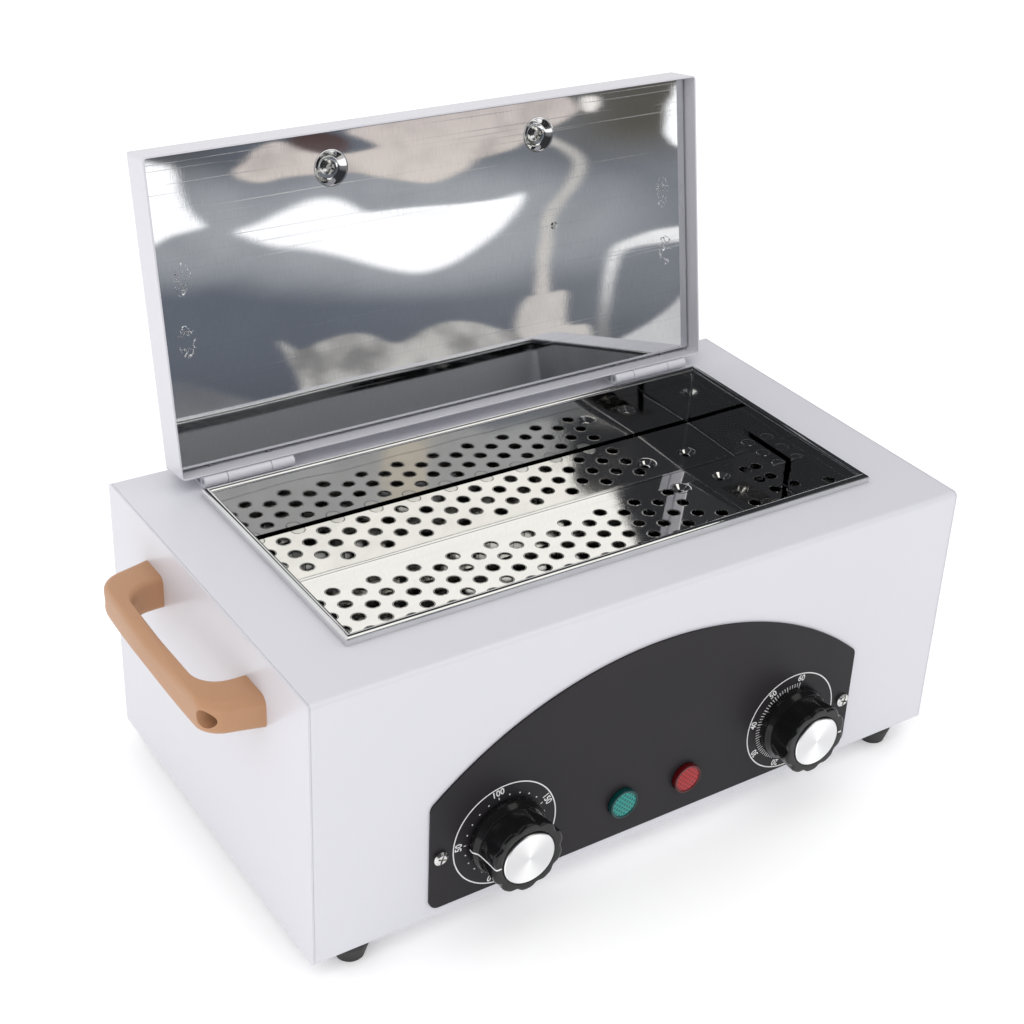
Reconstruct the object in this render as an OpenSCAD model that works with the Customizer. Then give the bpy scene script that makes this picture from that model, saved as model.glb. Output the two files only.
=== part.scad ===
// Bench-top dry heat sterilizer: a painted steel casing with a stainless chamber, a lid on two
// hinges, a perforated tray, a dial thermostat and a clockwork timer. The lid is drawn open.
// Millimetres. The front faces -Y, +Z is up, and the feet stand on Z = 0.

/* [Body] */
// Width over the side panels
body_w = 360; // [330:1:420]
// Depth from the front face to the rear face
body_d = 208.5; // [200:0.5:260]
// Height of the casing without its feet
body_h = 139; // [132:1:180]
// Thickness of the painted sheet
sheet_t = 0.8; // [0.6:0.1:1.5]
// Outer radius of the casing's bends
bend_r = 2.5; // [2:0.5:6]
// Width of the lips turned in along the casing's foot
lip_w = 20; // [19:1:30]
// Depth of the flange round each side panel
side_flange = 9; // [6:1:14]

/* [Feet] */
// Height of a foot
foot_h = 10; // [6:1:20]
// Diameter of a foot against the body
foot_top_d = 18; // [14:1:19]
// Diameter of a foot on the bench
foot_base_d = 13; // [10:1:14]
// Distance of a foot's centre from the side of the body
foot_side = 23; // [20:1:40]
// Distance of a foot's centre from the front or rear face
foot_edge = 10; // [9.5:0.5:10.5]

/* [Chamber] */
// Distance from the casing's sides to the chamber's side walls
chamber_side = 37; // [30:1:45]
// Distance from the front face to the chamber's front wall
chamber_front = 34; // [30:1:40]
// Distance from the rear face to the chamber's rear wall
chamber_behind = 37; // [34.5:0.5:45]
// Depth of the chamber floor below the casing's top
chamber_depth = 60; // [50:1:66]
// Thickness of the stainless sheet
liner_t = 0.8; // [0.5:0.1:1]
// Radius of the chamber's upright corners
chamber_r = 1.5; // [1:0.1:1.9]
// Width of the rolled rim
rim_w = 4; // [3.5:0.1:5]
// Height of the rolled rim above the casing's top
rim_h = 4.2; // [3.5:0.1:5]
// Thickness of the insulation under and behind the chamber
insulation_t = 11; // [6:1:13]

/* [Tray] */
// Gap between the tray and the chamber's walls
tray_gap = 2; // [1:0.5:4]
// Depth of the tray's fold below the casing's top
tray_drop = 30; // [20:1:40]
// Distance of the lengthwise fold from the tray's rear edge
fold_back = 42; // [30:1:60]
// Slope of the tray on each side of its fold, in degrees
fold_slope = 1.6; // [0.5:0.1:3]
// Diameter of the tray's holes
hole_d = 6.4; // [5:0.1:7]
// Spacing of the holes in a column, front to back
hole_pitch = 12.76; // [12:0.02:16]
// Spacing of the columns of holes
column_pitch = 10.9; // [10:0.1:14]
// Length of each lifting tab
tab_l = 40; // [30:1:60]
// Height of the lifting tabs above the tray
tab_h = 17; // [12:1:22]
// Width of the ledge on top of each lifting tab
tab_ledge = 9; // [6:0.5:12]

/* [Lid] */
// Distance from the casing's sides to the lid's ends
lid_side = 25.75; // [24:0.25:30]
// Distance from the front face to the lid's front with the lid shut
lid_front = 24.3; // [18:0.1:26]
// Height of the lid
lid_h = 20.7; // [18:0.1:26]
// Angle between the lid and the casing's top as drawn, in degrees
lid_open = 99.3; // [92:0.1:104]
// Depth of the mirror liner behind the lid's edge
liner_recess = 8; // [6:0.5:10]
// Gap between the mirror liner and the lid's walls
liner_gap = 1.8; // [1:0.1:3]
// Distance from the lid's front to its handle's centre
lid_handle_in = 19.6; // [15:0.2:30]
// Distance between the lid handle's screws
lid_handle_span = 118; // [100:1:130]

/* [Hinges] */
// Distance from the rear face to the hinge axis
hinge_back = 27; // [24.5:0.5:27]
// Height of the hinge axis above the casing's top
hinge_z = 3.6; // [3.4:0.1:4.4]
// Distance from the lid's rear wall to the hinge axis
hinge_gap = 3.2; // [3.2:0.1:4]
// Height of the lid's edge against the hinge axis with the lid shut
lid_edge_z = -1.6; // [-2:0.1:-1]
// Length of a hinge
hinge_l = 47; // [40:1:60]
// Distance from the lid's ends to the centres of the hinges
hinge_in = 34.25; // [30:0.25:60]
// Diameter of the knuckles
knuckle_d = 6; // [5.5:0.1:6.2]
// Diameter of the hinge pins
pin_d = 2.6; // [2:0.1:3]
// Thickness of the hinge leaves
leaf_t = 1; // [0.8:0.1:1.2]
// Width of a hinge leaf beyond its knuckles
leaf_w = 14; // [12:1:15]

/* [Control panel] */
// Width of the black panel
panel_w = 246; // [236:1:280]
// Thickness of the black panel
panel_t = 1.2; // [0.8:0.1:2]
// Height of the panel's lower edge above the body's underside
panel_low = 6.5; // [4:0.5:12]
// Height of the top of the panel's arc
panel_top = 111.2; // [100:0.2:120]
// Radius of the panel's arc
panel_arc_r = 183.7; // [160:0.1:220]
// Radius of the panel's corners
panel_corner_r = 5; // [3:0.5:10]
// Distance of the panel's screws from the middle
panel_screw_x = 118; // [112:0.5:130]
// Height of the panel's screws
panel_screw_z = 35.5; // [30:0.5:50]

/* [Dials and lamps] */
// Distance of each dial from the middle
dial_x = 84; // [75:1:95]
// Height of the dials
dial_z = 35; // [32:1:45]
// Distance of each lamp from the middle
lamp_x = 18.8; // [16:0.2:30]
// Height of the lamps
lamp_z = 26; // [20:1:40]
// Diameter of a lamp's lens
lens_d = 15.6; // [12:0.2:18]
// Height of a lamp's lens above the panel
lens_h = 3; // [2:0.5:6]

/* [Knobs] */
// Distance from the panel to a knob's front
knob_reach = 20; // [16:0.5:26]
// Diameter of the grip
grip_d = 35; // [30:0.5:38]
// Diameter of the skirt at a knob's foot
skirt_d = 39; // [36:0.5:44]
// Thickness of the skirt
skirt_t = 2.4; // [1.5:0.1:4]
// Number of hollows round the grip
flutes = 10; // [8:1:14]
// Depth of the hollows
flute_depth = 1.5; // [0.8:0.1:2.5]
// Diameter of the metal cap
cap_d = 26.5; // [22:0.5:28]
// Height of the cap above the knob's front
cap_rise = 0.8; // [0.4:0.1:2]
// Diameter of the control shafts
shaft_d = 6; // [4:0.5:8]

/* [Handles] */
// Distance between a side handle's screws
side_handle_span = 109; // [90:1:125]
// Distance of a side handle's centre in front of the middle of the side
side_handle_shift = 0.75; // [-10:0.25:10]
// Distance from the casing's top to a side handle's centre
side_handle_down = 28.5; // [20:0.5:40]
// Height of a handle's outer face above its seat
handle_reach = 27; // [24:0.5:36]
// Thickness of a handle's bar
bar_t = 7.5; // [6:0.5:10]
// Width of a handle
handle_w = 17; // [14:0.5:20]
// Distance from a handle's screw to its end
handle_end = 10; // [9:0.5:14]

/* [Hidden] */

$fn = 64;

// Clearance between pieces that are pushed together
fit = 0.1;
// Radial clearance of a turning shaft or pin
running = 0.05;
// Radial clearance of a knob's bore round its shaft
shaft_fit = 0.02;
// Air between the wool and the sheets beside it
wool_gap = 0.3;
// Overlap of joined shapes and overshoot of cuts
eps = 1;

paint = "white";
stainless = "silver";
black_plastic = [0.12, 0.12, 0.13];
tan_plastic = [0.75, 0.57, 0.43];
rubber = [0.15, 0.15, 0.15];
zinc = [0.75, 0.76, 0.78];
wool = [0.85, 0.8, 0.62];

// The screws used, as thread diameter, head diameter and head height
screw_m3 = [3, 5.6, 1.8];
screw_m4 = [4, 7.2, 2.2];
cross_t = 0.9;

chamber_w = body_w - 2 * chamber_side;
chamber_back = body_d - chamber_behind;
chamber_d = chamber_back - chamber_front;
chamber_mid = chamber_front + chamber_d / 2;
floor_z = body_h - chamber_depth;
rim_r = rim_w / 2;

tray_front = chamber_front + tray_gap;
tray_back = chamber_back - tray_gap;
tray_half = chamber_w / 2 - tray_gap;
fold_y = tray_back - fold_back;
fold_z = body_h - tray_drop;
tab_y = chamber_mid + 3;
// The columns of holes: the place of one of them, and of the last one beyond the right tab
column_x = -2.4;
end_column_x = tray_half - 4.5;
// The unpierced part of the tray: a strip along the fold and a field round the cross fold
strip_front = 12;
strip_back = 8;
cross_x = tray_half - 34;
field_left = cross_x - 19;
field_right = cross_x + 23;
field_reach = 44;
first_hole = 9.7;
dimple_x = 13.5;
dimple_y = 15.5;
dimple_r = 5.2;
dimple_depth = 2.4;

heater_d = 6.5;
heater_z = floor_z + 10;
heater_bend = 22;
heater_y = chamber_mid - 4;
heater_out = chamber_w / 2 + 15;
bracket_x = 62;
bracket_t = 1.2;
bracket_foot = 10;
bracket_end = 15;
bracket_top = 7;
bracket_hole_y = 10;
bulb_d = 5;
bulb_y = heater_y;
bulb_out = chamber_w / 2 + 10;
bush_r = 5.5;
bush_neck_r = 4.4;

panel_face = -panel_t;
knob_front = panel_face - knob_reach;
panel_arc_z = panel_top - panel_arc_r;
corner_x = panel_w / 2 - panel_corner_r;
corner_z = panel_arc_z + sqrt(pow(panel_arc_r - panel_corner_r, 2) - pow(corner_x, 2));
tangent_x = corner_x * panel_arc_r / (panel_arc_r - panel_corner_r);
tangent_z = panel_arc_z + sqrt(pow(panel_arc_r, 2) - pow(tangent_x, 2));
knob_gap = 0.8;
knob_foot = panel_face - knob_gap;
grip_taper = 1;
shaft_in = 12;
shaft_out = knob_reach - 5;
control_screw_x = 14;
lamp_barrel_d = 12.4;
lamp_barrel_l = 24;

// The wool's front and underside, and the room in front of it for the thermostat and the timer
wool_front_t = 7;
wool_front = chamber_front - liner_t - wool_gap - wool_front_t;
wool_low = floor_z - liner_t - wool_gap - insulation_t;
control_room = wool_front - sheet_t - 1;
thermostat_size = [42, control_room, 36];
timer_size = [48, control_room, 44];
capillary_d = 1.8;
control_plate_t = 1.2;
control_plate_h = 18;

side_handle_y = body_d / 2 - side_handle_shift;
side_handle_z = body_h - side_handle_down;
handle_corner_r = 12;
handle_slot_r = 14;
handle_edge_r = 4;
handle_bow_r = 780;
bore_head_d = 9.6;
bore_floor = 9;

hinge_y = body_d - hinge_back;
hinge_axis_z = body_h + hinge_z;

// The lid's own frame: Y = 0 at its rear wall, Z = 0 at its edge, and -Y towards its front
lid_w = body_w - 2 * lid_side;
lid_d = hinge_y - hinge_gap - lid_front;
lid_half = lid_w / 2;
hinge_x = lid_half - hinge_in;
lid_handle_up = lid_d - lid_handle_in;
lid_wall = sheet_t;
lid_edge_r = 2;
liner_z = liner_recess;
liner_half = lid_half - lid_wall - liner_gap;
dish_r = 8.5;
dish_depth = 3;
rivet_at = [66, 68 - lid_d];

gland_x = body_w / 3;
gland_z = 32;
gland_d = 16;
cord_d = 7.5;

// How far the open lid's handle reaches behind the hinge axis
handle_top_y = hinge_gap + lid_handle_up + handle_w / 2 - handle_edge_r;
handle_top_z = lid_edge_z + lid_h + handle_reach - handle_edge_r;
rear_reach = -handle_top_y * cos(lid_open) + handle_top_z * sin(lid_open) + handle_edge_r;
front_reach = knob_front - cap_rise;
// The front face's place, with the whole object centred front to back
front_y = -(hinge_y + rear_reach + front_reach) / 2;

foot_places = [
  [-(body_w / 2 - foot_side), foot_edge], [body_w / 2 - foot_side, foot_edge],
  [-(body_w / 2 - foot_side), body_d - foot_edge], [body_w / 2 - foot_side, body_d - foot_edge]
];
bottom_screw_places = [
  for (x = [-body_w / 4, 0, body_w / 4]) for (y = [lip_w / 2, body_d - lip_w / 2]) [x, y]
];
leaf_screw_x = hinge_l / 2 - 8;
leaf_screw_out = leaf_w - 5;
// A leaf screw's head is as deep as its leaf, and a knuckle has room round it to turn
leaf_screw = [screw_m3[0], screw_m3[0] + 2 * (leaf_t - fit)];
knuckle_room = 0.3;
lid_leaf_low = sqrt(max(0, pow(knuckle_d / 2 + knuckle_room, 2) - pow(hinge_gap - fit - leaf_t, 2)));

// Moves a shape from the body's frame, with Y = 0 at its front face and Z = 0 at its underside
module on_body() {
  translate([0, front_y, foot_h]) children();
}

// Moves a shape from the lid's frame to the open lid
module on_lid() {
  on_body() translate([0, hinge_y, hinge_axis_z]) rotate([-lid_open, 0, 0])
    translate([0, -hinge_gap, lid_edge_z]) children();
}

// A flat rectangle with round corners, centred
module rounded_rect(w, d, r) {
  square([w - 2 * r, d], center = true);
  square([w, d - 2 * r], center = true);
  for (x = [-1, 1]) for (y = [-1, 1]) translate([x * (w / 2 - r), y * (d / 2 - r)]) circle(r);
}

// A flat half-round bar end: a rectangle from the origin along +X with two round outer corners
module one_sided_rect(l, w, r) {
  translate([-eps, -w / 2]) square([l - r + eps, w]);
  translate([0, -w / 2 + r]) square([l, w - 2 * r]);
  for (y = [-1, 1]) translate([l - r, y * (w / 2 - r)]) circle(r);
}

// Draws a flat shape given in X and Z as a plate that reaches from Y = 0 back to Y = t
module upright(t) {
  translate([0, t, 0]) rotate([90, 0, 0]) linear_extrude(t) children();
}

// A pan-head screw with its head above Z = 0 and its shank l long below
module pan_screw(size, l) {
  difference() {
    union() {
      translate([0, 0, -l]) cylinder(d = size[0], h = l + eps / 2);
      cylinder(d = size[1], h = size[2] * 0.6);
      translate([0, 0, size[2] * 0.6]) cylinder(d1 = size[1], d2 = size[1] * 0.62, h = size[2] * 0.4);
    }
    for (a = [0, 90]) rotate(a) translate([-size[1] * 0.3, -cross_t / 2, size[2] * 0.35])
      cube([size[1] * 0.6, cross_t, size[2]]);
  }
}

// A countersunk screw whose head is flush with Z = 0
module flush_screw(size, l) {
  head_h = (size[1] - size[0]) / 2;
  difference() {
    union() {
      translate([0, 0, -l]) cylinder(d = size[0], h = l);
      translate([0, 0, -head_h]) cylinder(d1 = size[0], d2 = size[1], h = head_h);
    }
    for (a = [0, 90]) rotate(a) translate([-size[1] * 0.3, -cross_t / 2, -head_h * 0.6])
      cube([size[1] * 0.6, cross_t, head_h]);
  }
}

// The hole for a countersunk screw through a plate whose outer face is at Z = 0
module flush_hole(size, depth) {
  head_h = (size[1] - size[0]) / 2 + fit;
  translate([0, 0, -depth - eps]) cylinder(d = size[0] + 2 * fit, h = depth + 2 * eps);
  translate([0, 0, -head_h]) cylinder(d1 = size[0] + 2 * fit, d2 = size[1] + 2 * fit, h = head_h);
  cylinder(d = size[1] + 2 * fit, h = eps);
}

// The casing's section in Y and Z
module casing_outline(inset) {
  translate([body_d / 2, body_h / 2]) rounded_rect(body_d - 2 * inset, body_h - 2 * inset, bend_r - inset);
}

// One sheet bent over the front, top and rear, with lips turned in along its foot
module outer_casing() color(paint) on_body() {
  width = body_w - 2 * sheet_t - 2 * fit;
  difference() {
    translate([-width / 2, 0, 0]) rotate([90, 0, 90]) linear_extrude(width) difference() {
      casing_outline(0);
      casing_outline(sheet_t);
      translate([lip_w, -eps]) square([body_d - 2 * lip_w, sheet_t + 2 * eps]);
    }
    translate([0, chamber_mid, body_h - 2 * eps]) linear_extrude(3 * eps)
      rounded_rect(chamber_w + 2 * liner_t + 1, chamber_d + 2 * liner_t + 1, chamber_r + liner_t + 0.5);
    for (x = [-1, 1]) {
      translate([x * dial_x, 0, dial_z]) upright(2 * eps) circle(shaft_d / 2 + 3);
      for (s = [-1, 1]) translate([x * dial_x + s * control_screw_x, 0, dial_z])
        upright(2 * eps) circle(screw_m3[0] / 2 + fit);
      translate([x * lamp_x, 0, lamp_z]) upright(2 * eps) circle(lamp_barrel_d / 2 + fit);
      translate([x * panel_screw_x, 0, panel_screw_z]) upright(2 * eps) circle(screw_m4[0] / 2 + fit);
    }
    translate([gland_x, body_d - 2 * eps, gland_z]) upright(3 * eps) circle(gland_d / 2 + fit);
    for (p = concat(bottom_screw_places, foot_places)) translate([p[0], p[1], -eps])
      cylinder(d = screw_m4[0] + 2 * fit, h = 3 * eps);
    for (h = [-1, 1]) for (s = [-1, 1])
      translate([h * hinge_x + s * leaf_screw_x, hinge_y + leaf_screw_out, body_h - 2 * eps])
        cylinder(d = screw_m3[0] + 2 * fit, h = 3 * eps);
  }
}

// A flat side sheet with a flange turned in all round, which sits inside the casing's ends
module side_panel(side) color(paint) on_body() {
  inner = sheet_t + fit;
  translate([side * body_w / 2, 0, 0]) mirror([side < 0 ? 0 : 1, 0, 0]) difference() {
    rotate([90, 0, 90]) union() {
      linear_extrude(sheet_t) casing_outline(0);
      linear_extrude(side_flange) difference() {
        casing_outline(inner);
        casing_outline(inner + sheet_t);
      }
    }
    for (s = [-1, 1]) translate([-eps, side_handle_y + s * side_handle_span / 2, side_handle_z])
      rotate([0, 90, 0]) cylinder(d = screw_m4[0] + 2 * fit, h = 3 * eps);
  }
}
module left_side_panel() side_panel(-1);
module right_side_panel() side_panel(1);

// The flat floor of the casing, on top of the lips, with rows of vent slots
module bottom_plate() color(zinc) on_body() {
  margin = side_flange + sheet_t + fit;
  slot_l = 26;
  difference() {
    translate([-body_w / 2 + margin, bend_r, sheet_t + fit])
      cube([body_w - 2 * margin, body_d - 2 * bend_r, sheet_t]);
    for (x = [-3:3]) for (y = [-2:2]) translate([x * 42 - slot_l / 2, body_d / 2 + y * 12, 0])
      cube([slot_l, 4, 3 * eps]);
    for (p = concat(bottom_screw_places, foot_places)) translate([p[0], p[1], 0])
      cylinder(d = screw_m4[0] + 2 * fit, h = 3 * eps);
  }
}

module bottom_screws() color(zinc) on_body() {
  for (p = bottom_screw_places) translate([p[0], p[1], 0]) rotate([180, 0, 0]) pan_screw(screw_m4, 8);
}

// A tapered rubber foot with a well for its screw's head
module foot(i) color(rubber) translate([foot_places[i][0], front_y + foot_places[i][1], 0]) difference() {
  union() {
    cylinder(d1 = foot_base_d, d2 = foot_top_d, h = foot_h - 2);
    translate([0, 0, foot_h - 2]) cylinder(d = foot_top_d, h = 2);
  }
  translate([0, 0, -eps]) cylinder(d = screw_m4[1] + 1, h = foot_h / 2 + eps);
  cylinder(d = screw_m4[0] + 2 * fit, h = foot_h + eps);
}
module foot_front_left() foot(0);
module foot_front_right() foot(1);
module foot_rear_left() foot(2);
module foot_rear_right() foot(3);

module foot_screws() color(zinc) {
  for (p = foot_places) translate([p[0], front_y + p[1], foot_h / 2])
    rotate([180, 0, 0]) pan_screw(screw_m4, foot_h / 2 + 5);
}

// The section of the chamber's rolled rim, out from the chamber's inner face
module rim_section() {
  top = rim_h - rim_r;
  difference() {
    union() {
      translate([rim_r, top]) circle(rim_r);
      square([rim_w, top]);
    }
    translate([rim_r, top]) circle(rim_r - liner_t);
    translate([liner_t, -eps]) square([rim_w - 2 * liner_t, top + eps]);
  }
}

// One side of the rim along X, mitred at both ends, where the chamber is l long inside
module rim_run(l) {
  reach = rim_w + eps;
  intersection() {
    translate([-l / 2 - reach, 0, 0]) rotate([90, 0, 90]) linear_extrude(l + 2 * reach) rim_section();
    translate([0, 0, -eps]) linear_extrude(rim_h + 2 * eps)
      polygon([[-l / 2, 0], [l / 2, 0], [l / 2 + reach, reach], [-l / 2 - reach, reach]]);
  }
}

// A stainless tub with a rim rolled over on to the casing's top
module chamber_liner() color(stainless) on_body() {
  difference() {
    translate([0, chamber_mid, 0]) {
      translate([0, 0, floor_z]) linear_extrude(body_h - floor_z + eps) difference() {
        rounded_rect(chamber_w + 2 * liner_t, chamber_d + 2 * liner_t, chamber_r + liner_t);
        rounded_rect(chamber_w, chamber_d, chamber_r);
      }
      translate([0, 0, floor_z - liner_t]) linear_extrude(liner_t)
        rounded_rect(chamber_w + 2 * liner_t, chamber_d + 2 * liner_t, chamber_r + liner_t);
      for (a = [0, 180]) rotate(a) {
        translate([0, chamber_d / 2, body_h]) rim_run(chamber_w);
        rotate(90) translate([0, chamber_w / 2, body_h]) rim_run(chamber_d);
      }
    }
    for (y = heater_wall_ys()) translate([chamber_w / 2 - 2 * eps, y, heater_z])
      rotate([0, 90, 0]) cylinder(r = bush_neck_r + fit, h = 5 * eps);
    for (x = [-1, 1]) for (y = heater_ys())
      translate([x * bracket_x + bracket_foot / 2, y + bracket_hole_y, floor_z - 3 * eps])
        cylinder(d = screw_m3[0] + 2 * fit, h = 5 * eps);
  }
}

function heater_ys() = [heater_y - heater_bend, heater_y + heater_bend];
function heater_wall_ys() = concat(heater_ys(), [bulb_y]);

// A mineral wool jacket round the outside of the tub
module chamber_insulation() color(wool) on_body() {
  tub_w = chamber_w + 2 * liner_t + 2 * wool_gap;
  tub_front = wool_front + wool_front_t;
  tub_back = chamber_back + liner_t + wool_gap;
  difference() {
    translate([-tub_w / 2 - insulation_t, wool_front, wool_low])
      cube([tub_w + 2 * insulation_t, tub_back - wool_front + insulation_t, body_h - 4 - wool_low]);
    translate([-tub_w / 2, tub_front, wool_low + insulation_t])
      cube([tub_w, tub_back - tub_front, chamber_depth + eps]);
    for (y = heater_wall_ys()) translate([tub_w / 2 - eps, y, heater_z])
      rotate([0, 90, 0]) cylinder(r = bush_r + 1, h = insulation_t + 2 * eps);
  }
}

// How far the folded tray rises above its fold at a distance from it
function tray_rise(y) = abs(y - fold_y) * tan(fold_slope);

// The tray's section in Y and Z: two slopes and two legs that stand on the chamber's floor
module tray_section() {
  front_z = fold_z + tray_rise(tray_front);
  back_z = fold_z + tray_rise(tray_back);
  polygon([
    [tray_front, floor_z], [tray_front, front_z], [fold_y, fold_z], [tray_back, back_z],
    [tray_back, floor_z], [tray_back - liner_t, floor_z], [tray_back - liner_t, back_z - liner_t],
    [fold_y, fold_z - liner_t], [tray_front + liner_t, front_z - liner_t], [tray_front + liner_t, floor_z]
  ]);
}

// Whether a hole is left out at a place on the tray
function unpierced(x, y) =
  (y > fold_y - strip_front && y < fold_y + strip_back) ||
  (x > field_left && x < field_right && y > fold_y - field_reach);

// One of the tray's holes, unless it would break the tray's front or rear edge
module tray_hole(x, y) {
  if (y > tray_front + hole_d && y < tray_back - hole_d * 0.8)
    translate([x, y, fold_z - 2 * eps]) cylinder(d = hole_d, h = 8 * eps, $fn = 32);
}

// A folded stainless plate with a lifting tab at each end
module perforated_tray() color(stainless) on_body() {
  reach = floor((tray_half - hole_d) / column_pitch);
  rows = floor((tray_back - tray_front) / hole_pitch);
  dimple_z = fold_z + tray_rise(fold_y + dimple_y) - dimple_depth;
  difference() {
    union() {
      translate([-tray_half, 0, 0]) rotate([90, 0, 90]) linear_extrude(2 * tray_half) tray_section();
      for (x = [-1, 1]) for (y = [-1, 1]) translate([cross_x + x * dimple_x, fold_y + y * dimple_y, dimple_z])
        cylinder(r1 = dimple_r - 3 + liner_t, r2 = dimple_r + 0.4, h = dimple_depth - 0.2);
      for (x = [-1, 1]) mirror([x < 0 ? 1 : 0, 0, 0]) translate([0, tab_y - tab_l / 2, fold_z]) {
        translate([tray_half - liner_t, 0, -liner_t]) cube([liner_t, tab_l, tab_h + liner_t]);
        translate([tray_half - tab_ledge, 0, tab_h - liner_t]) cube([tab_ledge, tab_l, liner_t]);
      }
    }
    for (i = [-reach:reach]) for (j = [-rows:rows]) {
      x = column_x + i * column_pitch;
      y = fold_y + first_hole + (j + (i % 2 == 0 ? 0 : 0.5)) * hole_pitch;
      if (x < field_right && !unpierced(x, y)) tray_hole(x, y);
    }
    for (j = [-rows:rows]) {
      y = fold_y + first_hole + j * hole_pitch;
      if (y < fold_y - strip_front) tray_hole(end_column_x, y);
    }
    for (x = [-1, 1]) for (y = [-1, 1]) translate([cross_x + x * dimple_x, fold_y + y * dimple_y, dimple_z]) {
      cylinder(r1 = dimple_r - 3, r2 = dimple_r, h = dimple_depth + fit);
      translate([0, 0, -eps]) cylinder(r = 1.6, h = 2 * eps);
    }
  }
}

// A hairpin of tube that enters through the chamber's right wall, with a thin terminal at each end
module heating_element() color([0.35, 0.34, 0.33]) on_body() translate([0, heater_y, heater_z]) {
  left = -(chamber_w / 2 - heater_bend - 12);
  for (y = [-heater_bend, heater_bend]) {
    translate([left, y, 0]) rotate([0, 90, 0]) cylinder(d = heater_d, h = heater_out - left);
    translate([heater_out - eps, y, 0]) rotate([0, 90, 0]) cylinder(d = 2.4, h = 5 + eps);
  }
  translate([left, 0, 0]) rotate(90) rotate_extrude(angle = 180) translate([heater_bend, 0]) circle(d = heater_d);
}

// Two angle strips on the chamber's floor that the heating tube and the sensor pass through
module heater_brackets() color(stainless) on_body() {
  width = 2 * (heater_bend + bracket_end);
  rise = heater_z - floor_z;
  for (x = [-1, 1]) translate([x * bracket_x, heater_y, floor_z]) difference() {
    union() {
      translate([0, -width / 2, 0]) cube([bracket_t, width, rise + bracket_top]);
      translate([0, -width / 2, 0]) cube([bracket_foot, width, bracket_t]);
    }
    for (y = [-heater_bend, heater_bend]) {
      translate([-eps, y, rise]) rotate([0, 90, 0]) cylinder(d = heater_d + 2 * fit, h = 4 * eps);
      translate([bracket_foot / 2, y + bracket_hole_y, -eps]) cylinder(d = screw_m3[0] + 2 * fit, h = 4 * eps);
    }
    translate([-eps, bulb_y - heater_y, rise]) rotate([0, 90, 0]) cylinder(d = bulb_d + 2 * fit, h = 4 * eps);
  }
}

// Flanged collars that seal the heating tube and the sensor in the chamber's right wall
module heater_bushes() color("goldenrod") on_body() {
  for (i = [0:2]) {
    bore = (i < 2 ? heater_d : bulb_d) / 2 + fit;
    translate([chamber_w / 2, heater_wall_ys()[i], heater_z]) rotate([0, 90, 0]) difference() {
      union() {
        translate([0, 0, -1.5]) cylinder(r = bush_r, h = 1.5);
        translate([0, 0, -eps]) cylinder(r = bush_neck_r, h = liner_t + 2 * eps);
        translate([0, 0, liner_t + fit]) cylinder(r = bush_r, h = 4, $fn = 6);
      }
      translate([0, 0, -2 * eps]) cylinder(r = bore, h = 9 * eps);
    }
  }
}

module sensor_bulb() color([0.72, 0.45, 0.3]) on_body() {
  inner_end = bracket_x - 14;
  translate([inner_end, bulb_y, heater_z]) rotate([0, 90, 0]) cylinder(d = bulb_d, h = bulb_out - inner_end);
}

// A thin tube from the sensor down the outside of the wool and along to the thermostat's back
module sensor_capillary() color([0.72, 0.45, 0.3]) on_body() {
  out_x = chamber_w / 2 + liner_t + wool_gap + insulation_t + 3;
  low_z = wool_low - 4;
  stop_y = sheet_t + thermostat_size[1];
  drop_y = stop_y + 6;
  route = [
    [bulb_out, bulb_y, heater_z], [out_x, bulb_y, heater_z], [out_x, bulb_y, low_z], [-dial_x, bulb_y, low_z],
    [-dial_x, drop_y, low_z], [-dial_x, drop_y, dial_z], [-dial_x, stop_y, dial_z]
  ];
  for (i = [0:len(route) - 2]) {
    run = route[i + 1] - route[i];
    across = [for (k = [0:2]) abs(run[k]) > 0 ? 1 : 0];
    turn = across[0] == 1 ? [0, 90, 0] : across[1] == 1 ? [90, 0, 0] : [0, 0, 0];
    translate((route[i] + route[i + 1]) / 2) rotate(turn)
      cylinder(d = capillary_d, h = norm(run), center = true, $fn = 24);
    if (i > 0) translate(route[i]) sphere(d = capillary_d, $fn = 24);
  }
}

// The panel's outline: straight foot and sides under a shallow arc, with round corners
module panel_outline() {
  foot_z = panel_low + panel_corner_r;
  intersection() {
    translate([0, panel_arc_z]) circle(panel_arc_r, $fn = 256);
    polygon([
      [-corner_x, panel_low], [corner_x, panel_low], [corner_x, corner_z], [tangent_x, tangent_z],
      [tangent_x, panel_top + eps], [-tangent_x, panel_top + eps], [-tangent_x, tangent_z], [-corner_x, corner_z]
    ]);
  }
  translate([-panel_w / 2, foot_z]) square([panel_w, corner_z - foot_z]);
  for (x = [-1, 1]) for (z = [foot_z, corner_z]) translate([x * corner_x, z]) circle(panel_corner_r);
}

module control_panel() color(black_plastic) on_body() translate([0, panel_face, 0]) upright(panel_t) difference() {
  panel_outline();
  for (x = [-1, 1]) {
    translate([x * dial_x, dial_z]) circle(shaft_d / 2 + 2);
    for (s = [-1, 1]) translate([x * dial_x + s * control_screw_x, dial_z]) circle(screw_m3[1] / 2 + 0.4);
    translate([x * lamp_x, lamp_z]) circle(lamp_barrel_d / 2 + fit);
    translate([x * panel_screw_x, panel_screw_z]) circle(screw_m4[0] / 2 + fit);
  }
}

module panel_screws() color(zinc) on_body() {
  for (x = [-1, 1]) translate([x * panel_screw_x, panel_face, panel_screw_z])
    rotate([90, 20, 0]) pan_screw(screw_m4, 8);
}

// Flush screws behind the knobs that hold the thermostat and the timer to the casing
module control_screws() color(zinc) on_body() {
  for (x = [-1, 1]) for (s = [-1, 1]) translate([x * dial_x + s * control_screw_x, 0, dial_z])
    rotate([90, 0, 0]) pan_screw([screw_m3[0], screw_m3[1], panel_t], 6);
}

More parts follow.
